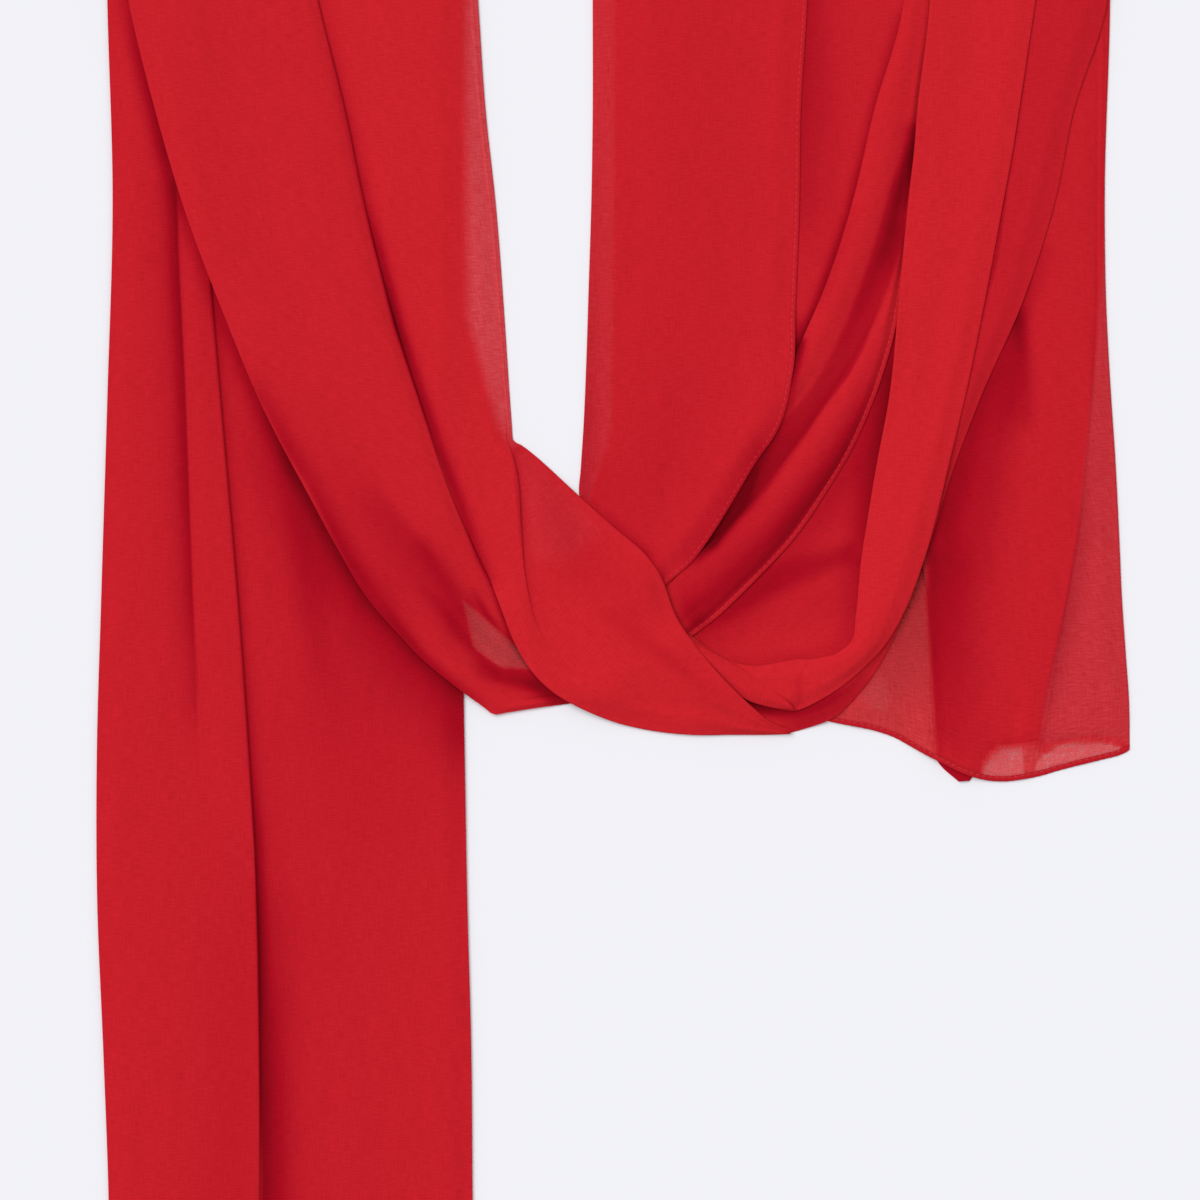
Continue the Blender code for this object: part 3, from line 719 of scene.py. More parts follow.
def sheet_mesh(
    points: Array, along: Array, closed: bool, sheer: Array | None, bare: Array | None, capped: bool
) -> tuple[bpy.types.Mesh, Array]:
    """Make a mesh through rows of points, with the place of each on the flat cloth.

    Args:
        points: The points, row by row, in mm.
        along: The distance of each down the cloth.
        closed: Whether each row comes back to its first point.
        sheer: How much light one layer alone lets by, from 0 to 1, for a sheet with such a place.
        bare: The points below that place, where the sheet has no more layers.
        capped: Whether its two ends are closed.

    Returns:
        The mesh, in metres, and the length of each row, in mm.
    """
    ring = np.concatenate([points, points[:, :1]], axis=1) if closed else points
    steps = np.linalg.norm(np.diff(ring, axis=1), axis=2)
    around = np.concatenate([np.zeros((len(points), 1)), np.cumsum(steps, axis=1)], axis=1)
    rows, columns = points.shape[:2]
    index = np.arange(rows * columns).reshape(rows, columns)
    here = np.arange(columns if closed else columns - 1)
    there = (here + 1) % columns
    upper, lower = slice(None, -1), slice(1, None)
    corners = ((upper, here), (lower, here), (lower, there), (upper, there))
    quads = np.stack([index[row, column] for row, column in corners], axis=-1).reshape(-1, 4)
    u = [around[:-1, here], around[1:, here], around[1:, here + 1], around[:-1, here + 1]]
    v = [along[row, column] for row, column in corners]
    flat = np.stack([np.stack(u, axis=-1), np.stack(v, axis=-1)], axis=-1).reshape(-1, 4, 2)
    slots = np.zeros(len(quads), int)
    if sheer is not None:
        slots[sheer.ravel()[quads].max(axis=1) > SHEER_LEAST] = 1
        kept = ~bare.ravel()[quads].all(axis=1)
        quads, flat, slots = quads[kept], flat[kept], slots[kept]
    faces = quads.tolist()
    if capped:
        faces += [index[0, ::-1].tolist(), index[-1].tolist()]
        flat = np.concatenate([flat.reshape(-1, 2), np.zeros((2 * columns, 2))])
        slots = np.concatenate([slots, [0, 0]])
    mesh = bpy.data.meshes.new("cloth")
    mesh.from_pydata((points.reshape(-1, 3) * MM).tolist(), [], faces)
    mesh.uv_layers.new(name="cloth").data.foreach_set("uv", flat.ravel())
    mesh.polygons.foreach_set("material_index", slots)
    mesh.shade_smooth()
    mesh.update()
    return mesh, around[:, -1]


@dataclass(frozen=True)
class Hem:
    """A narrow hem, turned twice and sewn with one row of lockstitch, and how it lies on its cloth."""

    width: float = HEM_WIDTH
    finish: Chiffon = HEMMED
    shaded: float = 0.0  # share of the cloth's painted shade that it takes
    pitch: float = STITCH_PITCH
    stitch_inset: float = 1.4
    stitch_length: float = 1.65
    stitch_radius: float = 0.16
    pull: float = 0.035  # how far each stitch draws the edge in
    pull_reach: float = 1.5  # how far from the edge that is seen
    step: float = 0.6
    fullness: float = 1.2  # height of a narrow hem, as a share of how narrow it is
    room: float = 0.06  # between the hem and the table
    least: float = 0.58  # height of the stitches where the hem lies on the table
    proud: float = 0.05  # how far they stand above it
    ahead: float = 0.8  # how far along a stitch looks, to point down the hem
    wander: float = 0.05  # how unevenly the stitches point
    lengths: tuple[float, float] = (0.93, 1.05)  # the shortest and longest, as shares of the usual one
    sides: int = 7  # of a stitch
    twist: tuple[float, float] = (0.2, 0.35)  # distance on the thread from side to side and ring to ring
    # In section: inset from its edge, and height above the cloth that it borders.
    form: tuple[tuple[float, float], ...] = (
        *((3.00, -0.14), (2.90, -0.02), (2.70, 0.05), (2.45, 0.06), (2.22, 0.01), (2.10, -0.01)),
        *((1.98, 0.03), (1.75, 0.11), (1.15, 0.18), (0.60, 0.14), (0.22, 0.02), (0.02, -0.18)),
        *((-0.04, -0.40), (0.35, -0.51), (1.80, -0.52), (2.90, -0.48)),
    )
    # The rings of a stitch: share of its length, of its radius, and height.
    rings: tuple[tuple[float, float, float], ...] = (
        *((-0.50, 0.15, -0.16), (-0.40, 0.75, -0.03), (-0.16, 1.0, 0.04)),
        *((0.16, 1.0, 0.04), (0.40, 0.75, -0.03), (0.50, 0.15, -0.16)),
    )

    def sewn(self, stretch: "Stretch", edge: Array, inward: Array, inner: Array, outer: Array) -> list[Piece]:
        """Make the hem and its stitches along an edge.

        Args:
            stretch: The stretch it belongs to.
            edge: Points of the outer edge on the table.
            inward: The direction from each into the cloth, of length 1.
            inner: The height of the cloth under the hem's inner side.
            outer: Its height under the outer side.

        Returns:
            The hem and its stitching.
        """
        name = stretch.name + "_hem"
        arc = np.concatenate([[0.0], np.cumsum(np.linalg.norm(np.diff(edge, axis=0), axis=1))])
        at = np.linspace(0.0, arc[-1], int(arc[-1] / self.step) + 1)
        edge = np.stack([np.interp(at, arc, edge[:, i]) for i in (0, 1)], axis=1)
        inward = np.stack([np.interp(at, arc, inward[:, i]) for i in (0, 1)], axis=1)
        inward /= np.linalg.norm(inward, axis=1)[:, None]
        inner, outer = np.interp(at, arc, inner), np.interp(at, arc, outer)
        scale = self.width / HEM_WIDTH
        low = min(1.0, self.fullness * scale)
        inset, high = np.array(self.form).T[:, None, :] * np.array([scale, low])[:, None, None]
        draw = self.pull * np.cos(math.tau * at / self.pitch)[:, None]
        inset = inset + draw * np.clip(1 - inset / self.pull_reach, 0.0, 1.0)
        level = outer[:, None] + (inner - outer)[:, None] * inset / self.width
        level = np.maximum(level, -high.min() + self.room)
        plan = edge[:, None, :] + inward[:, None, :] * inset[..., None]
        points = np.concatenate([plan, (level + high)[..., None]], axis=2)
        mesh, _ = sheet_mesh(points, np.broadcast_to(at[:, None], points.shape[:2]), True, None, None, True)
        # the hem and its stitches take a share of the painted shade of the cloth beneath
        middle = edge + inward * self.width
        shade = self.shaded * stretch.shade(middle[:, 0], middle[:, 1])
        give_values(mesh, "shade", np.repeat(shade, inset.shape[1]))
        mesh.materials.append(self.finish.material())
        band = add_piece(name + "_band", mesh, (name,))
        LOG.info("%s: %.0f mm of hem", name, at[-1])
        height = outer + (inner - outer) * self.stitch_inset / self.width
        tall = np.maximum(height, self.least * low) + self.proud
        line = np.column_stack([edge + inward * self.stitch_inset, tall, shade])
        return [band, self.stitches(name, at, line)]

    def stitches(self, name: str, at: Array, line: Array) -> Piece:
        """Make the row of stitches, each a short length of thread pulled into the cloth at its ends.

        Args:
            name: The hem's name.
            at: Distances along the hem.
            line: The row's X, Y, height and painted shade there.

        Returns:
            The stitching.
        """
        draw = np.random.default_rng(len(at))
        places = np.arange(self.pitch, at[-1] - self.pitch, self.pitch)
        x, y, tall, shade = (np.interp(places, at, part) for part in line.T)
        ahead = places + self.ahead
        run_x, run_y = (np.interp(ahead, at, line[:, i]) - here for i, here in ((0, x), (1, y)))
        angle = np.arctan2(run_y, run_x) + draw.normal(0.0, self.wander, len(places))
        long = self.stitch_length * draw.uniform(*self.lengths, len(places))
        forward = np.stack([np.cos(angle), np.sin(angle), 0 * angle], axis=1)[:, None, :]
        aside = np.stack([-np.sin(angle), np.cos(angle), 0 * angle], axis=1)[:, None, None, :]
        share, radius, lift = np.array(self.rings).T[:, None, :, None]
        up = np.array([0.0, 0.0, 1.0])
        middle = np.stack([x, y, tall], axis=1)[:, None, :]
        heart = middle + forward * share * long[:, None, None] + lift * up
        turn = (np.arange(self.sides) * math.tau / self.sides)[:, None]
        wide = self.stitch_radius * radius[..., None]
        points = heart[:, :, None, :] + aside * wide * np.cos(turn) + up * wide * np.sin(turn)
        index = np.arange(points[..., 0].size).reshape(points.shape[:3])
        there = np.roll(index, -1, axis=2)
        quads = np.stack([index[:, :-1], there[:, :-1], there[:, 1:], index[:, 1:]], axis=-1)
        faces = []
        for stitch, (start, *_, end) in zip(quads.tolist(), index.tolist()):
            faces += [*sum(stitch, []), start[::-1], end]
        mesh = bpy.data.meshes.new("stitching")
        mesh.from_pydata((points.reshape(-1, 3) * MM).tolist(), [], faces)
        mesh.shade_smooth()
        corner = np.zeros(len(mesh.loops), int)
        mesh.loops.foreach_get("vertex_index", corner)
        ring, side = np.divmod(corner, self.sides)
        stitch, ring = np.divmod(ring, len(self.rings))
        across, along = self.twist
        flat = np.stack([side * across, ring * along + stitch * self.pitch], axis=1)
        mesh.uv_layers.new(name="cloth").data.foreach_set("uv", flat.ravel())
        give_values(mesh, "shade", np.repeat(shade, index[0].size))
        mesh.materials.append(THREAD.material())
        return add_piece(name + "_stitching", mesh, ())


# A pleat's edge in section, where the upper layer folds back under itself and the lower one goes on:
# distance from the fold, how far it moves out where the pleat is high, and share of its height.
PLEAT = (
    *((-0.60, 0.00, 1.00), (-0.30, 0.10, 0.96), (-0.12, 0.28, 0.78), (0.00, 0.22, 0.48)),
    *((0.10, -0.26, 0.16), (0.25, -0.33, 0.01), (0.60, 0.00, 0.00)),
)
PLEAT_HIGH = 1.2
PLEAT_MOST = 0.12  # a section that is narrower than 1 over this draws the pleat in
SEEN_SIDE = 4  # points of each edge that the next stretch also rests on


@dataclass
class Stretch:
    """One length of gathered cloth, laid on the heap as a thin shell with its layers hidden inside.

    The sections run from the turns down.  left_ and right_ are the two ends of a section.  at_N is where
    fold N crosses it, as a share of its width.  At a pleat, before_N and after_N are how far the cloth
    just left and just right of it stands above the stretch's own level.  A soft fold has crest_N instead.
    """

    name: str
    pack: float  # thickness
    ripple: Ripple
    tint: float  # how deep its red lies all over
    sections: Sections
    rests_on: tuple[str, ...] = ()
    turn: Turn | None = None
    hem: Hem | None = None
    slot: str = "chiffon"
    left_edge: EdgeForm = EdgeForm.ROUND
    right_edge: EdgeForm = EdgeForm.ROUND
    closed: bool = True
    row_pitch: float = 2.4
    fine: float = 0.0
    column_pitch: float = 1.25
    under_pitch: float = 3.5
    edge_share: float = 0.42  # share of the thickness that is left at its edges
    right_share: float | None = None  # the same at the right edge alone
    edge_run: float = 9.0  # how far in from them it thins
    edge_most: float = 0.35  # the same as a share of a narrow section
    crown: float = 0.35  # how far the cloth swells between folds
    least: float = 0.32  # height of the cloth where one layer lies alone
    calm: float = 5.0  # how far in from the edges it lies without ripples
    calm_most: float = 0.25  # the same as a share of a narrow section
    trim: float = 0.0  # how far the shell stops short of its right edge, which a hem covers
    # lines of painted shade, some also sunk as soft valleys
    shaded_creases: tuple[ShadedCrease, ...] = ()
    thins: tuple[Patch, ...] = ()  # where fewer layers lie over pale cloth
    sheer: tuple[Patch, ...] = ()  # where one layer lies alone
    shades: tuple[Patch, ...] = ()  # painted shade in the deep places between folds

    def __post_init__(self) -> None:
        """Place the sections."""
        self.rows = rows = evenly(self.sections, self.row_pitch, self.fine)
        self.width = np.hypot(rows["right_x"] - rows["left_x"], rows["right_y"] - rows["left_y"])
        if self.trim:
            share = 1 - self.trim / self.width
            for end in ("x", "y"):
                left = rows["left_" + end]
                rows["right_" + end] = left + (rows["right_" + end] - left) * share
            self.width = self.width - self.trim

    def plan(self, across: Array) -> tuple[Array, Array]:
        """Find places on the table.

        Args:
            across: Distances across each section.

        Returns:
            The places along X and along Y.
        """
        share = across / self.width[:, None]
        ends = ((self.rows["left_" + end][:, None], self.rows["right_" + end][:, None]) for end in "xy")
        x, y = (left + (right - left) * share for left, right in ends)
        return x, y

    def level(self, across: Array) -> Array:
        """Measure the pack.

        Args:
            across: Distances across each section.

        Returns:
            The thickness of the pack there, which is thinner at its edges.
        """
        run = np.minimum(self.edge_run, self.edge_most * self.width)[:, None]
        left = self.edge_share + (1 - self.edge_share) * eased(across / run)
        right_share = self.edge_share if self.right_share is None else self.right_share
        right = right_share + (1 - right_share) * eased((self.width[:, None] - across) / run)
        return self.pack * np.minimum(left, right)

    def base(self, x: Array, y: Array) -> Array:
        """Read the heaps that the stretch rests on.

        Args:
            x: Places along X.
            y: Places along Y.

        Returns:
            The height of what lies beneath each of them.
        """
        heights = [heap.height_at(surface, x, y) for surface, heap in self.resting]
        over = self.rows.get("over", np.ones(len(x)))[:, None]
        sunk = self.rows.get("sunk", np.zeros(len(x)))[:, None]
        return heights[0] * (1 - over) + heights[-1] * over - sunk

    def folds(self) -> list[tuple[Array, Array, Array, bool]]:
        """Read the folds of the sections.

        Returns:
            For each fold its distance across, the heights before and after it, and whether it is a pleat.
        """
        found = []
        flat = np.zeros(len(self.width))
        while f"at_{len(found) + 1}" in self.rows:
            number = len(found) + 1
            crest = self.rows.get(f"crest_{number}")
            level = flat if crest is None else crest
            before, after = (self.rows.get(f"{side}_{number}", level) for side in ("before", "after"))
            found.append((self.rows[f"at_{number}"] * self.width, before, after, crest is None))
        return found

    def pleat(self, at: Array, before: Array, after: Array) -> list[tuple[Array, Array]]:
        """Shape the edge of a pleat.

        Args:
            at: The distance across of the fold in each section.
            before: The height left of it.
            after: The height right of it.

        Returns:
            The distance across and the height of each point of the edge.
        """
        drop = before - after
        high = np.clip(np.abs(drop) / PLEAT_HIGH, 0.0, 1.0)
        fits = np.minimum(1.0, PLEAT_MOST * self.width)
        falls = drop >= 0
        points = []
        for (off, out, share), (far_off, far_out, far_share) in zip(PLEAT, reversed(PLEAT)):
            move = np.where(falls, off + out * high, -far_off - far_out * high)
            rise = np.where(falls, after + drop * share, before - drop * far_share)
            points.append((at + fits * move, rise))
        return points

    def top(self) -> tuple[Array, Array]:
        """Lay out the points of the top.

        Returns:
            Their distances across each section, and how far each stands above the stretch's own level.
        """
        edges = (self.left_edge, self.right_edge)
        first, last = (edge.value[-1][0] * edge.scale(self.width) for edge in edges)
        flat = np.zeros(len(self.width))
        places, rises = [first], [flat]
        for at, before, after, is_pleat in [*self.folds(), (self.width - last, flat, flat, False)]:
            start, begin = places[-1], rises[-1]
            shape = self.pleat(at, before, after) if is_pleat else [(at, before)]
            finish = shape[0][0]
            count = max(1, int(math.ceil((finish - start).max() / self.column_pitch)))
            for t in (i / count for i in range(1, count)):
                swell = self.crown * math.sin(math.pi * t) ** 2
                places.append(start + (finish - start) * t)
                rises.append(begin + (before - begin) * float(eased(np.array(t))) + swell)
            places += [place for place, _ in shape]
            rises += [rise for _, rise in shape]
        return np.stack(places, axis=1), np.stack(rises, axis=1)

    def edge(self, form: EdgeForm, right: bool) -> Block:
        """Lay out the points of a long edge, without the last, which belongs to the top.

        Args:
            form: The edge's form.
            right: Whether it is the right edge, which runs down and not up.

        Returns:
            Distances across, shares of the thickness and heights above the level.
        """
        inset, share = np.array(form.value[:-1]).T
        inset = inset[None, :] * form.scale(self.width)[:, None]
        share = share[None, :] + 0 * inset
        if right:
            inset, share = self.width[:, None] - inset[:, ::-1], share[:, ::-1]
        return inset, share, np.zeros_like(inset)

    def under(self, start: Array, finish: Array) -> Block:
        """Lay out the underside, from right to left, between its ends.

        Args:
            start: Where it starts in each section.
            finish: Where it finishes.

        Returns:
            Distances across, shares of the thickness and heights above the level.
        """
        count = max(2, int(math.ceil((start - finish).max() / self.under_pitch)))
        across = start[:, None] + (finish - start)[:, None] * (np.arange(1, count) / count)[None, :]
        return across, np.zeros_like(across), np.zeros_like(across)

    def round(self) -> list[Block]:
        """Lay out a whole section: up the left edge, over the top, down the right edge and back below.

        Returns:
            The runs of points that a section goes through, in turn.
        """
        across, rise = self.top()
        left, right = self.edge(self.left_edge, False), self.edge(self.right_edge, True)
        below = self.under(right[0][:, -1], left[0][:, 0])
        self.first_top, self.last_top = left[0].shape[1], left[0].shape[1] + across.shape[1]
        return [left, (across, np.ones_like(across), rise), right, below]

    def height(self, across: Array, share: Array | float = 1.0, rise: Array | float = 0.0) -> Array:
        """The height of the cloth.

        Args:
            across: Distances across each section.
            share: Shares of the thickness, 1 on the top and 0 on the underside.
            rise: Heights above the stretch's own level.

        Returns:
            The height of each point.
        """
        x, y = self.plan(across)
        near = np.minimum(across, self.width[:, None] - across)
        calm = np.minimum(self.calm, self.calm_most * self.width)[:, None]
        relief = eased(near / calm) * self.ripple.at(across, self.rows["along"][:, None])
        relief = relief - sum(crease.depth * crease.at(x, y) for crease in self.shaded_creases if crease.depth)
        thick = np.maximum(self.level(across) + relief + rise, self.least)
        return self.base(x, y) + share * thick

    def shade(self, x: Array, y: Array) -> Array:
        """Read how deep the red lies: its tint, with the painted shade of its creases and patches.

        Args:
            x: Places along X.
            y: Places along Y.

        Returns:
            The depth of the red at each place, from 0 to 1, painted shade included.
        """
        tint = np.full(x.shape, self.tint)
        dark = [*(c.dark * c.at(x, y) for c in self.shaded_creases), *(patch.at(x, y) for patch in self.shades)]
        return together([tint, *dark], x.shape)

    def lay(self, heap: Heap, resting: list[Heap]) -> Piece:
        """Lay the stretch on the heap.

        Args:
            heap: The heap, which it joins.
            resting: The heaps that it rests on.

        Returns:
            The piece.
        """
        self.resting = [(other.resting(), other) for other in resting]
        across, share, rise = (np.concatenate(parts, axis=1) for parts in zip(*self.round()))
        x, y = self.plan(across)
        points = np.stack([x, y, self.height(across, share, rise)], axis=-1)
        heap.add(points[:, max(self.first_top - SEEN_SIDE, 0) : self.last_top + SEEN_SIDE])
        along = np.broadcast_to(self.rows["along"][:, None], x.shape)
        if self.turn:
            extra = self.turn.wrapped(points[0])
            arc = np.linalg.norm(np.diff(np.concatenate([extra, points[:1]]), axis=0), axis=2).max(axis=1)
            behind = -np.cumsum(arc[::-1])[::-1]
            points = np.concatenate([extra, points])
            along = np.concatenate([np.broadcast_to(behind[:, None], (len(behind), x.shape[1])), along])
            share = np.concatenate([np.repeat(share[:1], len(behind), axis=0), share])
        return self.piece(points, along, share)

    def piece(self, points: Array, along: Array, share: Array) -> Piece:
        """Make the shell through rows of points, with its finish.

        Args:
            points: The points, row by row.
            along: The distance of each down the stretch.
            share: Its share of the thickness.

        Returns:
            The piece.
        """
        x, y = points[..., 0], points[..., 1]
        thin = together([patch.at(x, y) for patch in self.thins], x.shape)
        skin = np.clip(8 * share - 0.4, 0.0, 1.0)  # the underside takes no painted shade and no thinness
        sheer = bare = None
        if self.sheer:
            sheer = np.max([patch.at(x, y) for patch in self.sheer], axis=0)
            thin = np.maximum(sheer, thin)
            within = np.max([patch.depth(x, y) for patch in self.sheer], axis=0)
            bare = (within > -BARE_REACH) & (share < UNDERSIDE)
        mesh, widths = sheet_mesh(points, along, self.closed, sheer, bare, False)
        # the tint and the painted shade, kept on the mesh for the finish
        give_values(mesh, "shade", self.shade(x, y) * skin)
        give_values(mesh, "thin", thin * skin)
        for finish in (RED, SHEER) if self.sheer else (RED,):
            mesh.materials.append(finish.material())
        nodes = (self.name, self.turn.node) if self.turn else (self.name,)
        piece = add_piece(self.name + "_cloth", mesh, nodes)
        solid = piece.modifiers.new("thickness", "SOLIDIFY")
        solid.thickness = SHELL * MM
        solid.offset = -1.0
        length = float(np.ptp(along, axis=0).mean())
        self.flat = (float(widths.max()) * MM, length * MM)
        self.area = float(widths.mean()) * length * MM * MM
        return piece

    def sewn(self) -> list[Piece]:
        """Sew the hem along the right edge, which the shell stops short of.

        Returns:
            The hem and its stitching.
        """
        ends = ([self.rows[f"{side}_{axis}"] for axis in "xy"] for side in ("left", "right"))
        left, right = (np.stack(end, axis=1) for end in ends)
        inward = (left - right) / np.linalg.norm(left - right, axis=1)[:, None]
        far, near = self.width - (self.hem.width - self.trim), self.width - EDGE_ROOM
        heights = self.height(np.stack([far, near], axis=1))
        edge = right - inward * self.trim
        # Square to the edge, and not to the section, so that the hem keeps its width where they slant.
        run = np.gradient(edge, axis=0)
        square = np.stack([run[:, 1], -run[:, 0]], axis=1)
        square /= np.linalg.norm(square, axis=1)[:, None]
        square *= np.sign((square * inward).sum(axis=1))[:, None]
        return self.hem.sewn(self, edge, square, heights[:, 0], heights[:, 1])

    def build(self, heap: Heap, resting: list[Heap] | None = None) -> None:
        """Lay the stretch, sew its hem, and say what cloth it is cut from, all round.

        Args:
            heap: The heap, which it joins.
            resting: The heaps that it rests on, where that isn't this heap alone.
        """
        piece = self.lay(heap, resting or [heap])
        trims = self.sewn() if self.hem else []
        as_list(trims)
        LOG.info("%s: cut %.0f x %.0f mm", self.name, *(1000 * side for side in self.flat))


@dataclass
class Tail(Stretch):
    """A tail: its pack thins towards its end, where the layers are sewn up in the hem."""

    taper: float = 9.0
    thinned: float = 0.5

    def level(self, across: Array) -> Array:
        """Measure the pack.

        Args:
            across: Distances across each section.

        Returns:
            The thickness of the pack, which also thins towards the end of the tail.
        """
        along = self.rows["along"][:, None]
        left = along[-1] - along
        return super().level(across) * (1 - self.thinned * eased(1 - left / self.taper))

    def sewn(self) -> list[Piece]:
        """Sew the hem across the end.

        Returns:
            The hem and its stitching.
        """
        width = self.width[-1]
        across = np.linspace(END_ROOM, width - END_ROOM, int(width / END_PITCH))
        everywhere = np.broadcast_to(across, (len(self.width), len(across)))
        line = np.stack([part[-1] for part in self.plan(everywhere)], axis=1)
        places, rises = (part[-1] for part in self.top())
        order = np.argsort(places, kind="stable")
        high = self.height(everywhere, 1.0, np.interp(across, places[order], rises[order]))[-1]
        run = np.gradient(line, axis=0)
        inward = np.stack([-run[:, 1], run[:, 0]], axis=1) / np.linalg.norm(run, axis=1)[:, None]
        inward[inward[:, 1] < 0] *= -1
        near = np.clip(np.minimum(across, width - across) / CORNER, 0.0, 1.0)
        edge = line - inward * ((self.hem.width - HEM_LAP) * np.sqrt(1 - (1 - near) ** 2))[:, None]
        return self.hem.sewn(self, edge, inward, high, high)


@dataclass
class LongTail(Tail):
    """The long tail, on the table at the left, with one broad pleat down its length."""

    name: str = "left_tail"
    hem: Hem | None = Hem()
    pack: float = 2.6
    left_edge: EdgeForm = EdgeForm.LAYERED
    right_edge: EdgeForm = EdgeForm.LAYERED
    row_pitch: float = 3.0
    ripple: Ripple = Ripple(11, 0.07)
    tint: float = 0.115
    shaded_creases: tuple[ShadedCrease, ...] = read_shaded_creases(
        (4.12, 3, 0, 1, (-182.2, 260.1, 0.35), (-177, 237.6, 0.52), (-171.4, 216.9, 0.62),
         (-168.4, 203.8, 0.68), (-164.2, 191.1, 0.5), (-155.6, 165.2, 0.35), (-147, 140.8, 0.35),
         (-136.9, 117.9, 0.4), (-127.1, 98.1, 0.7), (-120.8, 84.6, 0.95), (-114, 73.7, 0.88),
         (-103.9, 54.9, 0.76), (-91.9, 35.1, 0.66), (-80.2, 22.7, 0.6), (-70.9, 12.2, 0.6),
         (-56.2, -0.2, 0.45)),
        (15.75, 3.75, 0, 1, (-155.6, 165.2, 0.04), (-136.9, 117.9, 0.12), (-121.5, 83.8, 0.36),
         (-106.5, 55.7, 0.46), (-91.9, 35.1, 0.4), (-70.9, 12.2, 0.4), (-59.6, 1.3, 0.38),
         (-56.6, -6.2, 0.3)),
        (3.75, 0.22, 0.2, 1, (-163.9, 189.6, 0.6), (-163.1, 159.6, 0.55), (-161.2, 123.9, 0.5),
         (-159.8, 87.9, 0.45), (-157.9, 35.1, 0.35), (-156.4, 6.2, 0.2), (-156, -24.9, 0)),
        (9.75, 0.75, 0, 1, (-163.9, 189.6, 0.2), (-159.8, 87.9, 0.2), (-156.4, -2.4, 0.1)),
        (0.45, 3, 0.2, 1, (-151.5, 151.7, 0.2), (-147, 105.2, 0.25), (-141, 35.1, 0.26),
         (-136.9, -22.3, 0.36), (-134.2, -58.7, 0.68), (-133.1, -96.2, 0.84), (-132.4, -137.1, 0.6),
         (-131.6, -189.9, 0.35)),
        (0.75, 10.5, 0, 1, (-136.9, -9.9, 0.05), (-134.2, -58.7, 0.12), (-133.1, -96.2, 0.34),
         (-132.4, -126.2, 0.55), (-132, -152.4, 0.66), (-131.2, -189.9, 0.62)),
        (5.25, 6.75, 0, 1, (-122.2, 80.1, 0.1), (-120, 72.6, 0.2), (-118.5, 65.1, 0.22),
         (-116.2, 50.1, 0.2), (-114, 31.3, 0.22), (-111, 16.3, 0.15), (-106.5, -2.4, 0.06)),
        (33.75, 33.75, 0, 1, (-106.5, 35.1, 0.1), (-95.2, -2.4, 0.16), (-95.2, -39.9, 0.1),
         (-106.5, -77.4, 0.05)),
        (12, 12, 0, 1, (-145.9, -58.7, 0.05), (-144, -114.9, 0.12), (-144.8, -189.9, 0.14)),
        (22.5, 22.5, 0, 1, (-114, -96.2, 0.05), (-102.8, -152.4, 0.05), (-102.8, -189.9, 0.05)),
        (9.75, 1.88, 0, 1, (-56.2, -0.2, 0.3), (-55.5, -13.7, 0.3), (-55.1, -39.9, 0.06)),
    )
    sections: Sections = table(
        "y left right pleat_left pleat_right left_step right_step",
        (334.7, -191, -61, -167, -159, 1, 1),
        (260, -190, -61, -166, -156.5, 1, 1),
        (185, -188, -59.5, -164, -153.5, 1.2, 1.2),
        (110, -190, -58.5, -160.5, -147.5, 1.4, 1.5),
        (35, -192.3, -57, -158, -141, 1, 1.6),
        (-21, -193.9, -56, -156, -137, 0.5, 1.7),
        (-77.5, -193.8, -55, -154.5, -134, 0.2, 1.7),
        (-134, -191.5, -53.5, -153.5, -133, 0.1, 1.7),
        (-190, -189.5, -53, -153, -133, 0, 1.6),
        (-250, -189, -52, -153.5, -133.5, 0.2, 1.4),
        (-336.7, -191, -50, -155, -135, 0.4, 1.2),
    )

    def __post_init__(self) -> None:
        """Turn the level sections into sections with two ends."""
        rows = self.sections
        width = rows["right"] - rows["left"]
        self.sections = {
            "left_x": rows["left"],
            "left_y": rows["y"],
            "right_x": rows["right"],
            "right_y": rows["y"],
            "at_1": (rows["pleat_left"] - rows["left"]) / width,
            "after_1": rows["left_step"],
            "at_2": (rows["pleat_right"] - rows["left"]) / width,
            "before_2": rows["right_step"],
        }
        super().__post_init__()


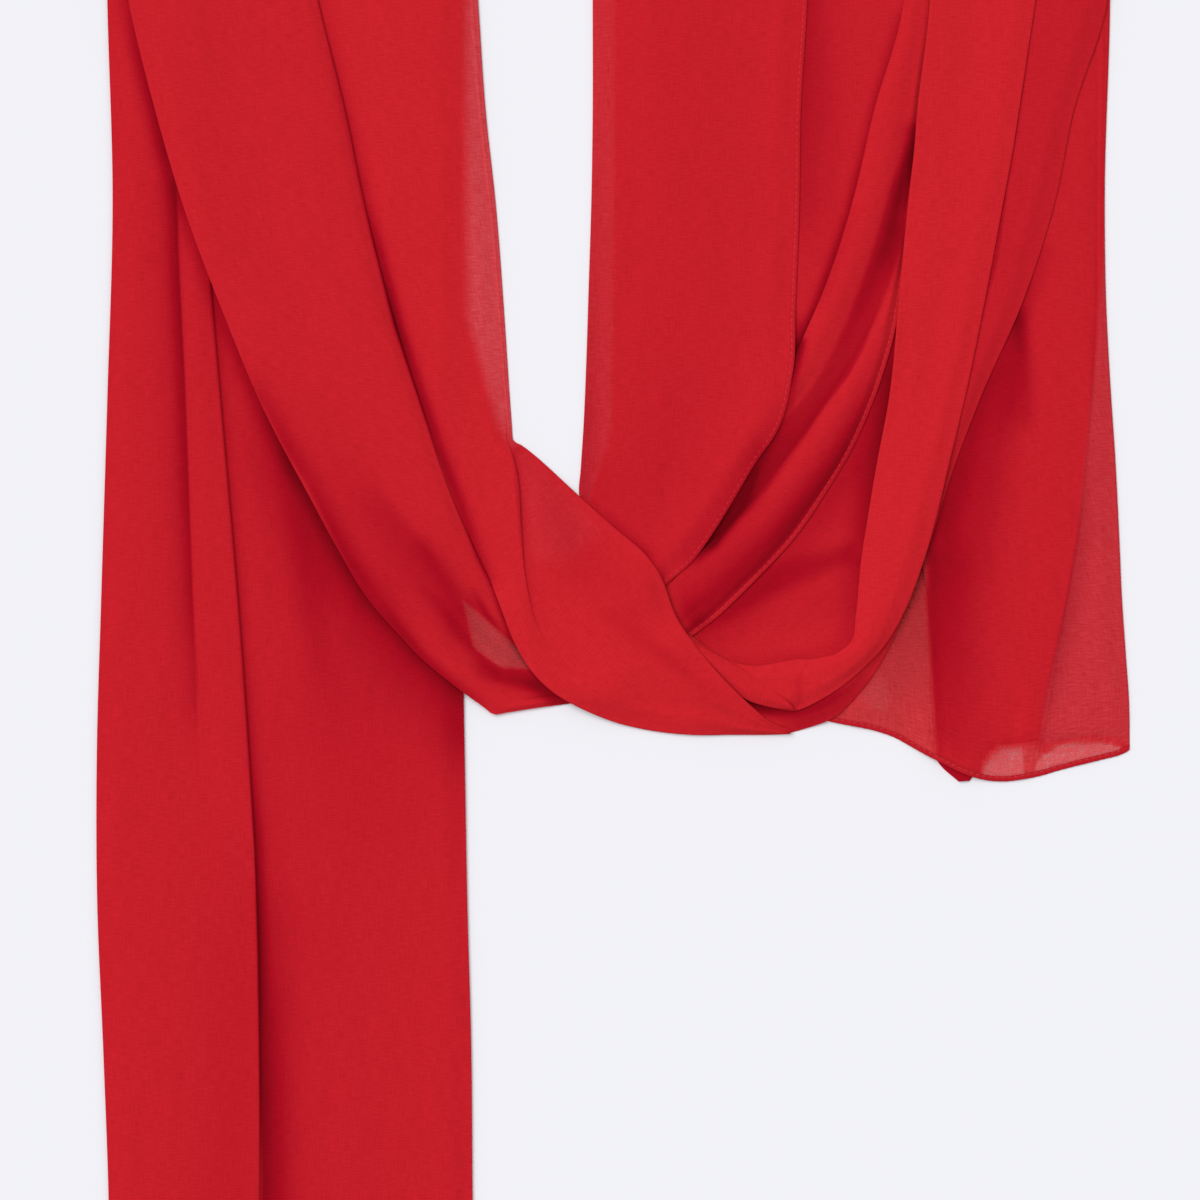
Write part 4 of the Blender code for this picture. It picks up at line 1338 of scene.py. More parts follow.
@dataclass
class ShortTail(Tail):
    """The short tail, on the table at the right: one layer alone at its left, and flared at its end."""

    name: str = "right_tail"
    hem: Hem | None = Hem(width=2.0, finish=ROLLED)
    pack: float = 2.2
    rests_on: tuple[str, ...] = ("under_corner",)
    taper: float = 7.0
    fine: float = 62.0
    column_pitch: float = 1.05
    ripple: Ripple = Ripple(23, 0.07)
    closed: bool = False
    # A low step in section: distance from it, and share of its height.
    step: tuple[tuple[float, float], ...] = ((-0.7, 1.0), (-0.3, 0.85), (0.0, 0.5), (0.3, 0.15), (0.7, 0.0))
    # The inner fold in section, from the underside up: inset and share of the thickness.
    inner: tuple[tuple[float, float], ...] = ((0.6, 0.02), (0.1, 0.18), (0.0, 0.42), (0.2, 0.62), (1.0, 0.72))
    tint: float = 0.13
    # How far the end droops below a straight line, by the share of the way across.
    droop: tuple[tuple[float, float], ...] = (
        (0, 5), (0.051, 5.6), (0.103, 6), (0.154, 6.3), (0.206, 7), (0.259, 8.5), (0.311, 11.1),
        (0.362, 13.6), (0.413, 15.8), (0.463, 18), (0.509, 19.2), (0.555, 19.6), (0.611, 18.9),
        (0.66, 17.3), (0.71, 15.4), (0.761, 12.8), (0.812, 10.4), (0.863, 8.1), (0.915, 5.8), (0.959, 3.8),
        (0.99, 1.9), (1, 1.6),
    )
    shaded_creases: tuple[ShadedCrease, ...] = read_shaded_creases(
        (1.5, 4.88, 0, 1, (159.8, 165.2, 0.2), (152.6, 145.3, 0.3), (145.5, 128.1, 0.36),
         (138.4, 112.3, 0.4), (131.2, 96.6, 0.44), (126.8, 83.4, 0.5), (121.1, 65.1, 0.5),
         (116.6, 53.4, 0.42)),
        (3, 5.25, 0, 1, (135.4, 110.1, 0.1), (134.2, 95.1, 0.26), (129, 76.3, 0.34), (125.2, 65.1, 0.38),
         (123.8, 53.8, 0.25), (123, 44.4, 0.08)),
        (3.38, 3.38, 0, 1, (149.2, 128.8, 0.1), (149.6, 119.4, 0.25), (149.2, 110.1, 0.2),
         (148.5, 98.8, 0.05)),
        (3.38, 3.38, 0, 1, (149.6, 145.7, 0.6), (151.1, 140.8, 0.8), (152.2, 130.7, 0.55),
         (153.4, 120.6, 0.3), (154.5, 106.3, 0.2), (154.5, 95.1, 0)),
        (8.25, 8.25, 0, 1, (147, 130.7, 0.1), (145.5, 119.4, 0.34), (144.8, 106.3, 0.36), (141, 91.3, 0.25),
         (139.1, 72.6, 0.15), (136.5, 50.1, 0.08)),
        (9, 12.75, 0, 1, (141, 98.8, 0.06), (133.5, 72.6, 0.22), (128.6, 50.1, 0.28), (126, 20.1, 0.3),
         (126, -9.9, 0.24)),
        (1.12, 3, 0, 1, (119.2, 50.1, 0.3), (119.6, 16.3, 0.25), (121.5, -21.2, 0.15)),
        (15, 15, 0, 1, (115.5, 44.4, 0.45), (110.2, 23.8, 0.38), (104.2, 6.9, 0.3), (99.8, -4.3, 0.2),
         (96, -8.1, 0.12)),
        (0.75, 5.62, 0.1, 1, (183.8, 166.3, 0.04), (182.2, 147.6, 0.08), (180.8, 126.9, 0.09),
         (178.1, 98.1, 0.13), (176.2, 76.3, 0.2), (174, 59.1, 0.28), (169.9, 35.1, 0.33),
         (166.1, 17.8, 0.33), (162.4, 0.6, 0.25), (159.8, -11.8, 0.08)),
        (4.5, 7.5, 0.9, 0, (139.1, -29.4, 1), (152.2, -27.2, 1), (167.2, -24.2, 1), (186, -20.8, 1)),
        (1.88, 1.88, 0, 1, (141, -19.3, 0.1), (153, -17.8, 0.1), (159.8, -17.8, 0.1), (168.4, -16.7, 0.12),
         (182.2, -15.9, 0.1)),
    )
    thins: tuple[Patch, ...] = patched(
        (0.24, 2.5, (183.8, 185.1), (184.1, 173.8), (182.6, 152.4), (181.1, 131.1), (177.8, 98.1),
         (174, 59.1), (169.9, 35.1), (166.1, 17.8), (162, -0.9), (159.8, -19.3), (195.4, -19.3),
         (195.4, 35.1), (189.8, 110.1), (187.9, 185.1)),
    )
    sheer: tuple[Patch, ...] = patched(
        (0.84, 7, (87, -2.4), (93, 5.1), (99.8, 11.1), (105, 4.3), (105.4, -6.9), (102, -10.7),
         (94.5, -6.9)),
        (0.74, 2.2, (69.8, 57.6), (117, 57.6), (117, 35.1), (118.5, 13.7), (120, -12.2), (121.5, -30.6),
         (69.8, -30.6)),
        (1, 1.4, (136.9, -31.7), (138.4, -26.4), (141.4, -21.9), (145.5, -19.7), (153.4, -19.3),
         (154.5, -34.3), (144.8, -35.1)),
        (1, 1.6, (156.8, -35.1), (157.5, -26.4), (160.9, -21.6), (167.2, -18.6), (176.6, -17.4),
         (184.5, -17.8), (189.8, -19.3), (191.2, -21.2), (189, -24.9), (178.5, -29.4), (167.2, -32.4)),
        (0.76, 2.2, (152.2, -19.3), (160.5, -19.3), (159.8, -33.2), (152.2, -33.9)),
    )
    sections: Sections = table(
        "left_x left_y right_x right_y at_1 before_1 at_2 crest_2 at_3 after_3 dip",
        (4, 334.7, 186, 334.7, 0.4, 0, 0.75, 0, 0.97, 0, 0),
        (4, 294, 186, 294, 0.4, 0, 0.75, 0, 0.97, 0, 0),
        (5, 260, 186, 260, 0.4, 0, 0.76, 0, 0.97, 0, 0),
        (15.5, 185, 184, 185, 0.4, 0, 0.78, -0.1, 0.98, -0.2, 0),
        (25, 147.5, 184.5, 147.5, 0.4, 0, 0.8, -0.4, 0.975, -0.3, 0),
        (34, 117.5, 186, 117.5, 0.4, -0.2, 0.79, -0.4, 0.955, -0.4, 0),
        (45.5, 87.5, 188, 87.5, 0.4, -0.6, 0.78, -0.3, 0.924, -0.3, 0),
        (56.5, 57.5, 189.5, 57.5, 0.42, -1.2, 0.76, -0.1, 0.882, -0.35, 0),
        (66, 35, 190.5, 35, 0.416, -1.3, 0.71, 0, 0.833, -0.35, 0),
        (71.5, 16.5, 192, 13.5, 0.388, -1.3, 0.66, 0, 0.784, -0.35, 0.17),
        (75, 3, 193.2, -4.5, 0.374, -1.3, 0.63, 0, 0.738, -0.35, 0.5),
        (76, -2.7, 193.4, -18.6, 0.387, -1.3, 0.61, 0, 0.694, -0.35, 1),
    )

    def plan(self, across: Array) -> tuple[Array, Array]:
        """Find places on the table, where the end of the tail sags below a straight line.

        Args:
            across: Distances across each section.

        Returns:
            The places along X and along Y.
        """
        x, y = super().plan(across)
        share = across / self.width[:, None]
        at, drop = np.array(self.droop).T
        return x, y - self.rows["dip"][:, None] * between(at, drop, np.clip(share, 0.0, 1.0))

    def pleat(self, at: Array, before: Array, after: Array) -> list[tuple[Array, Array]]:
        """Shape a low step, where the top layer falls over the edge of a layer beneath it."""
        return [(at + off, before * share + after * (1 - share)) for off, share in self.step]

    def round(self) -> list[Block]:
        """Lay out the top from its open left edge, then the right edge, the underside and its inner fold.

        Returns:
            The runs of points that a section goes through, in turn.
        """
        across, rise = self.top()
        right = self.edge(self.right_edge, True)
        fold = (self.rows["at_1"] * self.width)[:, None]
        inset, share = np.array(self.inner).T
        inner = fold + inset[None, :]
        below = self.under(right[0][:, -1], inner[:, 0])
        self.first_top, self.last_top = 0, across.shape[1]
        top = (across, np.ones_like(across), rise)
        return [top, right, below, (inner, np.broadcast_to(share, inner.shape), np.zeros_like(inner))]


@dataclass
class UnderCorner(Stretch):
    """The corner of a lower layer, which peeks out below the end of the short tail."""

    name: str = "under_corner"
    pack: float = 1.0
    slot: str = "chiffon_deep"
    row_pitch: float = 0.8
    column_pitch: float = 0.8
    crown: float = 0.0
    edge_share: float = 0.9
    ripple: Ripple = Ripple(5, 0.02)
    tint: float = 0.5
    sections: Sections = table(
        "left_x left_y right_x right_y",
        (117, -12, 134.5, -14),
        (119.6, -21, 135, -23),
        (122.7, -27.3, 134.6, -30.5),
        (129.2, -33, 133.4, -32.7),
    )


@dataclass
class OuterFold(Stretch):
    """The right arm's rearmost fold, which shows beyond the cowl and comes out again below it."""

    name: str = "outer_fold"
    turn: Turn | None = RIGHT_TURN
    pack: float = 1.8
    right_share: float | None = 0.16
    rests_on: tuple[str, ...] = ("right_tail",)
    ripple: Ripple = Ripple(31, 0.06)
    tint: float = 0.17
    shaded_creases: tuple[ShadedCrease, ...] = read_shaded_creases(
        (3, 3, 0, 1, (94.5, 2.8, 0.2), (84.8, -5.4, 0.22), (69.8, -12.2, 0.24)),
        (2.25, 2.62, 0, 1, (45.4, -0.6, 0.5), (51.8, -3.9, 1), (56.6, -5.8, 0.9), (62.2, -6.9, 0.66),
         (68.6, -7.3, 0.5), (75.4, -5.1, 0.5), (81, -2.1, 0.52), (86.6, 1.7, 0.3), (91.5, 6.6, 0.1)),
        (1.88, 0.75, 0, 1, (157.9, 260.1, 0.1), (151.5, 216.9, 0.28), (146.2, 185.1, 0.38),
         (143.2, 162.6, 0.36), (139.1, 147.6, 0.34), (132, 113.8, 0.28), (125.2, 85.7, 0.28),
         (121.5, 68.8, 0.28)),
    )
    sections: Sections = table(
        "left_x left_y right_x right_y",
        (139, 334.7, 186, 334.7),
        (145, 294, 186, 294),
        (148.5, 260, 185, 260),
        (143, 217, 172, 217),
        (137, 185, 165.5, 185),
        (130, 147.5, 153.5, 147.5),
        (122, 111, 137.5, 111),
        (116.5, 84, 127, 83.5),
        (109, 57.5, 118, 55.5),
        (100, 35, 109.5, 33),
        (92, 22, 104.5, 20),
        (83, 12.5, 98.5, 9),
        (73.5, 5, 91, -1),
        (62, 1.5, 82.5, -9),
        (51, 1.5, 73.5, -12.6),
        (40.5, 5, 63, -15),
        (32, 9.5, 51, -13.5),
    )


@dataclass
class UnderPanel(Stretch):
    """The strip of thinner cloth that shows between the panel and the rolls."""

    name: str = "under_panel"
    turn: Turn | None = RIGHT_TURN
    pack: float = 1.2
    rests_on: tuple[str, ...] = ("right_tail",)
    slot: str = "chiffon_pale"
    ripple: Ripple = Ripple(41, 0.05)
    tint: float = 0.12
    shaded_creases: tuple[ShadedCrease, ...] = read_shaded_creases(
        (4.5, 4.5, 0, 1, (72.4, 260.1, 0.2), (70.1, 219.9, 0.22), (69.4, 185.1, 0.12), (68.6, 162.6, 0)),
        (9.38, 9.38, 0.3, 1, (75.4, 267.6, 0.18), (76.5, 222.6, 0.22), (74.2, 185.1, 0.16),
         (69.8, 158.8, 0.02)),
        (2.62, 1.88, 0, 1, (107.2, 252.6, 0.25), (97.9, 219.9, 0.35), (88.5, 179.8, 0.5),
         (77.2, 147.6, 0.6), (72.8, 136.3, 0.85), (68.6, 128.1, 0.95)),
        (4.5, 4.5, 0, 1, (69, 136.3, 0.3), (69, 128.8, 0.68)),
    )
    sections: Sections = table(
        "left_x left_y right_x right_y",
        (60, 334.7, 112, 334.7),
        (61, 294, 113, 294),
        (61, 260, 114, 260),
        (60, 217, 103, 217),
        (59, 185, 95, 185),
        (57, 147.5, 83, 147.5),
        (55, 121.5, 74, 123),
        (52, 99, 64, 99),
    )


@dataclass
class CowlFloor(Stretch):
    """The back of the cowl, which shows inside it."""

    name: str = "cowl_floor"
    pack: float = 1.2
    rests_on: tuple[str, ...] = ("right_tail", "outer_fold")
    slot: str = "chiffon_deep"
    column_pitch: float = 1.2
    ripple: Ripple = Ripple(43, 0.04)
    tint: float = 0.06
    shaded_creases: tuple[ShadedCrease, ...] = read_shaded_creases(
        (6.75, 3, 0, 1, (104.6, 134.4, 0.6), (102.8, 116.4, 0.82), (100.5, 98.8, 0.72), (97.9, 80.8, 0.62),
         (94.9, 65.1, 0.54), (92.6, 50.1, 0.36), (90.8, 35.1, 0.28), (88.5, 20.1, 0.26)),
        (3, 9.75, 0, 1, (95.2, 102.6, 0.24), (88.5, 85.7, 0.38), (79.1, 71.8, 0.36), (69.8, 59.4, 0.3),
         (58.5, 47.8, 0.3), (45.4, 35.1, 0.3), (34.1, 24.6, 0.3)),
        (11.25, 15, 0, 1, (49.1, 27.6, 0.12), (69.8, 33.2, 0.14), (88.5, 38.8, 0.12)),
        (3.38, 3.38, 0, 1, (82.5, 16.3, 0.16), (68.2, 13.7, 0.16), (46.5, 11.4, 0.14)),
    )
    shades: tuple[Patch, ...] = patched(
        (0.36, 7, (32.2, 23.1), (45.4, 35.1), (58.5, 47.1), (69.8, 51.6), (81, 53.8), (89.6, 56.8),
         (91.1, 49.3), (82.9, 47.1), (69.8, 41.1), (58.5, 36.2), (45.4, 29.4)),
    )
    sections: Sections = table(
        "left_x left_y right_x right_y",
        (103.5, 147.5, 109, 147.5),
        (97, 130.5, 109, 129),
        (90.5, 112, 107, 110),
        (80, 95, 104, 91.5),
        (68, 76.5, 101.5, 72.5),
        (55, 61.5, 99, 54),
        (41.5, 46.5, 96, 35),
        (32, 37, 95, 24),
        (26, 27.5, 92, 14.5),
        (28.5, 16.5, 83, 9.5),
        (34, 12, 70, 5),
    )


@dataclass
class SideRolls(Stretch):
    """The two rolls that fall into the cowl, along whose lower edge runs the scarf's side hem.

    Fold 1 is the crest of the upper roll and 2 its foot, 3 the edge of the lower roll across the valley,
    4 its crest and 5 the valley just before the hem.
    """

    name: str = "side_rolls"
    turn: Turn | None = RIGHT_TURN
    hem: Hem | None = Hem(width=1.8, shaded=0.5)
    pack: float = 1.8
    right_share: float | None = 0.12
    rests_on: tuple[str, ...] = ("under_panel", "cowl_floor")
    column_pitch: float = 0.9
    row_pitch: float = 2.0
    edge_run: float = 4.0
    trim: float = 0.8
    crown: float = 0.0
    ripple: Ripple = Ripple(47, 0.03)
    tint: float = 0.08
    shaded_creases: tuple[ShadedCrease, ...] = read_shaded_creases(
        (3.75, 3.75, 0, 1, (112.5, 210.6, 0.62), (111, 200.1, 0.92), (107.6, 188.8, 0.85),
         (104.6, 177.6, 0.72), (102, 168.2, 0.6), (97.5, 156.9, 0.42), (93, 147.6, 0.35),
         (87.8, 136.3, 0.22), (82.9, 125.1, 0.1), (77.2, 113.8, 0.05), (69.8, 102.6, 0.1), (63, 92.1, 0.25),
         (56.2, 81.6, 0.5), (49.5, 72.6, 0.74), (44.2, 65.8, 0.3), (36, 57.2, 0.15), (30.4, 51.9, 0.1)),
        (3.38, 3.38, 0, 1, (106.5, 173.1, 0.34), (104.6, 161.8, 0.28), (102.8, 153.2, 0.12),
         (101.2, 147.6, 0.03)),
        (3, 0.38, 0, 1, (99.8, 146.8, 0.1), (93, 128.8, 0.2), (87.4, 118.7, 0.28), (79.1, 108.2, 0.3),
         (71.6, 97.3, 0.28), (62.2, 85.7, 0.2)),
        (1.88, 2.44, 0, 1, (69.4, 131.1, 0.9), (67.5, 122.4, 0.8), (65.2, 110.1, 0.46), (63, 102.6, 0.3),
         (60, 94.7, 0.36), (55.1, 87.6, 0.75), (51, 80.1, 1.5), (47.6, 71.8, 2), (42.4, 64.7, 2),
         (36.8, 57.2, 1.8), (33, 53.4, 0.8), (28.5, 49.3, 0.3)),
        (1.12, 3.75, 0, 1, (88.9, 181.3, 0.1), (82.9, 163.3, 0.16), (77.2, 147.6, 0.14)),
        (5.25, 1.88, 0.1, 1, (104.6, 132.6, 0.1), (101.2, 122.4, 0.25), (97.1, 111.6, 0.45),
         (91.1, 99.2, 0.66), (84, 86.4, 0.74), (75, 73.7, 0.76), (65.6, 60.9, 0.8), (55.1, 48.9, 0.72),
         (46.5, 40.7, 0.66), (38.2, 32.8, 0.6), (32.2, 26.8, 0.6)),
        (12.75, 2.25, 0, 1, (92.2, 101.1, 0.06), (78, 80.1, 0.14), (62.2, 63.2, 0.22), (49.1, 50.1, 0.3),
         (34.1, 35.1, 0.34)),
        (3.75, 4.5, 0, 1, (26.2, 38.8, 0.06), (29.2, 30.6, 0.3), (32.2, 23.8, 0.34)),
    )
    shades: tuple[Patch, ...] = patched(
        (0.3, 2.4, (112.5, 211.3), (108.8, 201.9), (104.2, 191.1), (101.2, 180.6), (98.2, 170.8),
         (94.5, 159.6), (90.8, 148.7), (86.6, 138.2), (81.8, 128.1), (75.8, 117.6), (69, 108.2),
         (63.4, 102.6), (54.8, 89.4), (49.1, 78.6), (40.5, 65.8), (32.2, 53.8), (25.9, 46.3), (32.2, 52.7),
         (39, 58.7), (47.2, 65.8), (57.8, 77.1), (72, 96.6), (79.1, 108.2), (87.4, 118.7), (93, 128.8),
         (99.8, 144.6), (104.6, 158.1), (108, 168.2), (110.2, 185.1), (112.5, 203.8)),
    )
    sections: Sections = table(
        "left_x left_y right_x right_y at_1 crest_1 at_2 crest_2 at_3 before_3 after_3 at_4 crest_4 at_5 "
        "crest_5",
        (105.5, 334.7, 120.5, 334.7, 0.25, 0.3, 0.5, 0, 0.65, 0, 0, 0.8, 0, 0.9, 0),
        (108, 294, 121, 294, 0.25, 0.3, 0.5, 0.1, 0.65, 0, 0, 0.8, 0, 0.9, 0),
        (108.5, 260, 122, 260, 0.3, 0.4, 0.6, 0.2, 0.76, 0, 0, 0.86, 0, 0.92, 0),
        (97, 217, 116.5, 217, 0.4, 0.8, 0.74, 0.1, 0.89, -0.5, -0.5, 0.93, -0.5, 0.96, -0.5),
        (89.5, 185, 113, 185, 0.33, 0.9, 0.64, 0, 0.9, -0.6, -0.5, 0.93, -0.4, 0.96, -0.4),
        (77, 147.5, 107.3, 145.5, 0.2, 0.9, 0.42, 0, 0.79, -0.8, 0.1, 0.87, 0.4, 0.95, 0),
        (66, 123, 103.6, 129, 0.18, 0.8, 0.4, 0, 0.67, -0.8, 0.5, 0.79, 0.9, 0.93, 0.1),
        (60.5, 110, 98.3, 112.5, 0.12, 0.7, 0.26, 0, 0.55, -0.9, 0.7, 0.71, 1.3, 0.92, 0),
        (52, 95, 89.5, 92, 0.08, 0.4, 0.18, -0.2, 0.45, -0.9, 0.8, 0.62, 1.5, 0.91, -0.2),
        (40.5, 80, 79.1, 74.6, 0.08, 0.1, 0.16, -0.3, 0.43, -0.9, 0.8, 0.6, 1.5, 0.9, -0.3),
        (30.5, 67, 68, 58.6, 0.08, -0.2, 0.16, -0.4, 0.38, -0.9, 0.7, 0.56, 1.3, 0.88, -0.3),
        (20, 55.5, 53, 42.4, 0.08, -0.2, 0.16, -0.3, 0.33, -0.6, 0.5, 0.54, 1, 0.87, -0.3),
        (13.5, 47, 38.8, 28.7, 0.08, 0, 0.16, -0.1, 0.32, -0.2, 0.2, 0.56, 0.5, 0.87, -0.2),
        (10, 37, 27.5, 20, 0.08, 0, 0.16, 0, 0.34, 0, 0, 0.58, 0.1, 0.86, 0),
    )


@dataclass
class RightPanel(Stretch):
    """The flat panel at the front of the right arm, whose right edge is the scarf's side hem."""

    name: str = "right_panel"
    turn: Turn | None = RIGHT_TURN
    hem: Hem | None = Hem(width=2.6, shaded=1.0)
    pack: float = 1.8
    right_share: float | None = 0.12
    rests_on: tuple[str, ...] = ("under_panel", "side_rolls")
    trim: float = 1.6
    ripple: Ripple = Ripple(53, 0.08)
    tint: float = 0.1
    shaded_creases: tuple[ShadedCrease, ...] = read_shaded_creases(
        (1.12, 6, 0, 1, (-9, 203.8, 0.04), (-9, 166.3, 0.12), (-9.8, 128.8, 0.18), (-11.2, 98.8, 0.28),
         (-12.4, 76.3, 0.3)),
        (5.25, 1.12, 0, 1, (66, 111.9, 0.05), (59.2, 98.1, 0.2), (54, 89.4, 0.36), (46.5, 76.3, 0.3),
         (37.9, 63.6, 0.24), (28.5, 50.8, 0.2)),
        (15, 22.5, 0, 1, (28.5, 260.1, 0.03), (28.5, 147.6, 0.04), (17.2, 91.3, 0.1), (6, 72.6, 0.11)),
        (3, 3, 0.2, 1, (-13.1, 74.1, 0.08), (1.1, 61.3, 0.25), (11.6, 52.3, 0.34), (19.1, 40.7, 0.25)),
    )
    thins: tuple[Patch, ...] = patched(
        (0.12, 2, (-10.9, 305.1), (0.4, 305.1), (0, 185.1), (-0.8, 98.8), (-9, 72.6), (-14.6, 72.6),
         (-11.6, 102.2), (-9.8, 152.4)),
    )
    sections: Sections = table(
        "left_x left_y right_x right_y",
        (-7.5, 334.7, 74, 334.7),
        (-8, 294, 73.5, 294),
        (-8, 260, 72.5, 260),
        (-8, 217, 70, 217),
        (-8.5, 185, 69.5, 181.5),
        (-9.5, 152.5, 68, 144),
        (-10.5, 121.5, 67, 120.5),
        (-11.5, 99, 61.5, 99),
        (-12.5, 84, 52.5, 85.5),
        (-13, 74, 44.2, 71.5),
        (-9, 63, 36.4, 59),
        (-3.5, 54, 29, 49),
        (3, 44.5, 20, 41),
        (6, 37, 15.5, 35),
    )


@dataclass
class CowlFold(Stretch):
    """The full fold at the front of the right arm, which hooks round at its foot as the cowl's rim."""

    name: str = "cowl_fold"
    turn: Turn | None = RIGHT_TURN
    pack: float = 2.0
    right_share: float | None = 0.22
    rests_on: tuple[str, ...] = ("outer_fold", "side_rolls", "cowl_floor")
    slot: str = "chiffon_bright"
    column_pitch: float = 1.0
    ripple: Ripple = Ripple(59, 0.05)
    tint: float = 0.02
    shaded_creases: tuple[ShadedCrease, ...] = read_shaded_creases(
        (2.25, 2.25, 0, 1, (39.8, 2.1, 0.34), (49.1, -2.4, 0.5), (58.5, -5.4, 0.66), (66, -6.9, 0.5)),
        (0.94, 0.94, 0.3, 1, (68.6, 6.6, 0.24), (69, -3.9, 0.18)),
    )
    sections: Sections = table(
        "left_x left_y right_x right_y",
        (115.5, 334.7, 168, 334.7),
        (118, 294, 163.5, 294),
        (118.2, 260, 158, 260),
        (113.4, 217, 151.5, 217),
        (112.4, 204, 149.5, 204),
        (110.2, 185, 146, 185),
        (106.6, 147.5, 139, 147.5),
        (103, 111, 131.5, 111),
        (98, 84, 125, 84),
        (95, 66, 121, 67),
        (92.5, 50, 116, 49.5),
        (90.5, 29.5, 107, 27),
        (89, 20, 101, 17.5),
        (84, 15.5, 95, 11),
        (79, 14, 86.5, 3.5),
        (74, 13, 78, -2),
        (68.5, 13, 68, -6.5),
        (60.5, 11.5, 58, -5),
        (52, 10.5, 48, -1.5),
        (43, 12.5, 40.5, 5),
        (34.5, 17.5, 32, 13),
        (28.5, 22, 26, 18.5),
    )


@dataclass
class CowlLip(Stretch):
    """The short fold that laps over the start of the cowl's rim and comes to a point."""

    name: str = "cowl_lip"
    pack: float = 1.2
    rests_on: tuple[str, ...] = ("cowl_fold",)
    slot: str = "chiffon_bright"
    row_pitch: float = 1.2
    column_pitch: float = 0.8
    crown: float = 0.2
    ripple: Ripple = Ripple(61, 0.02)
    tint: float = 0.05
    sections: Sections = table(
        "left_x left_y right_x right_y sunk",
        (66.5, -4, 67.5, -6.3, 0.9),
        (59, 2.5, 58, -5, 0.9),
        (50, 8, 48, -1.5, 0.8),
        (41.5, 13, 40.5, 5, 0.5),
        (32.5, 18, 32, 13, 0.2),
        (26.5, 22.5, 26, 18.5, 0),
    )


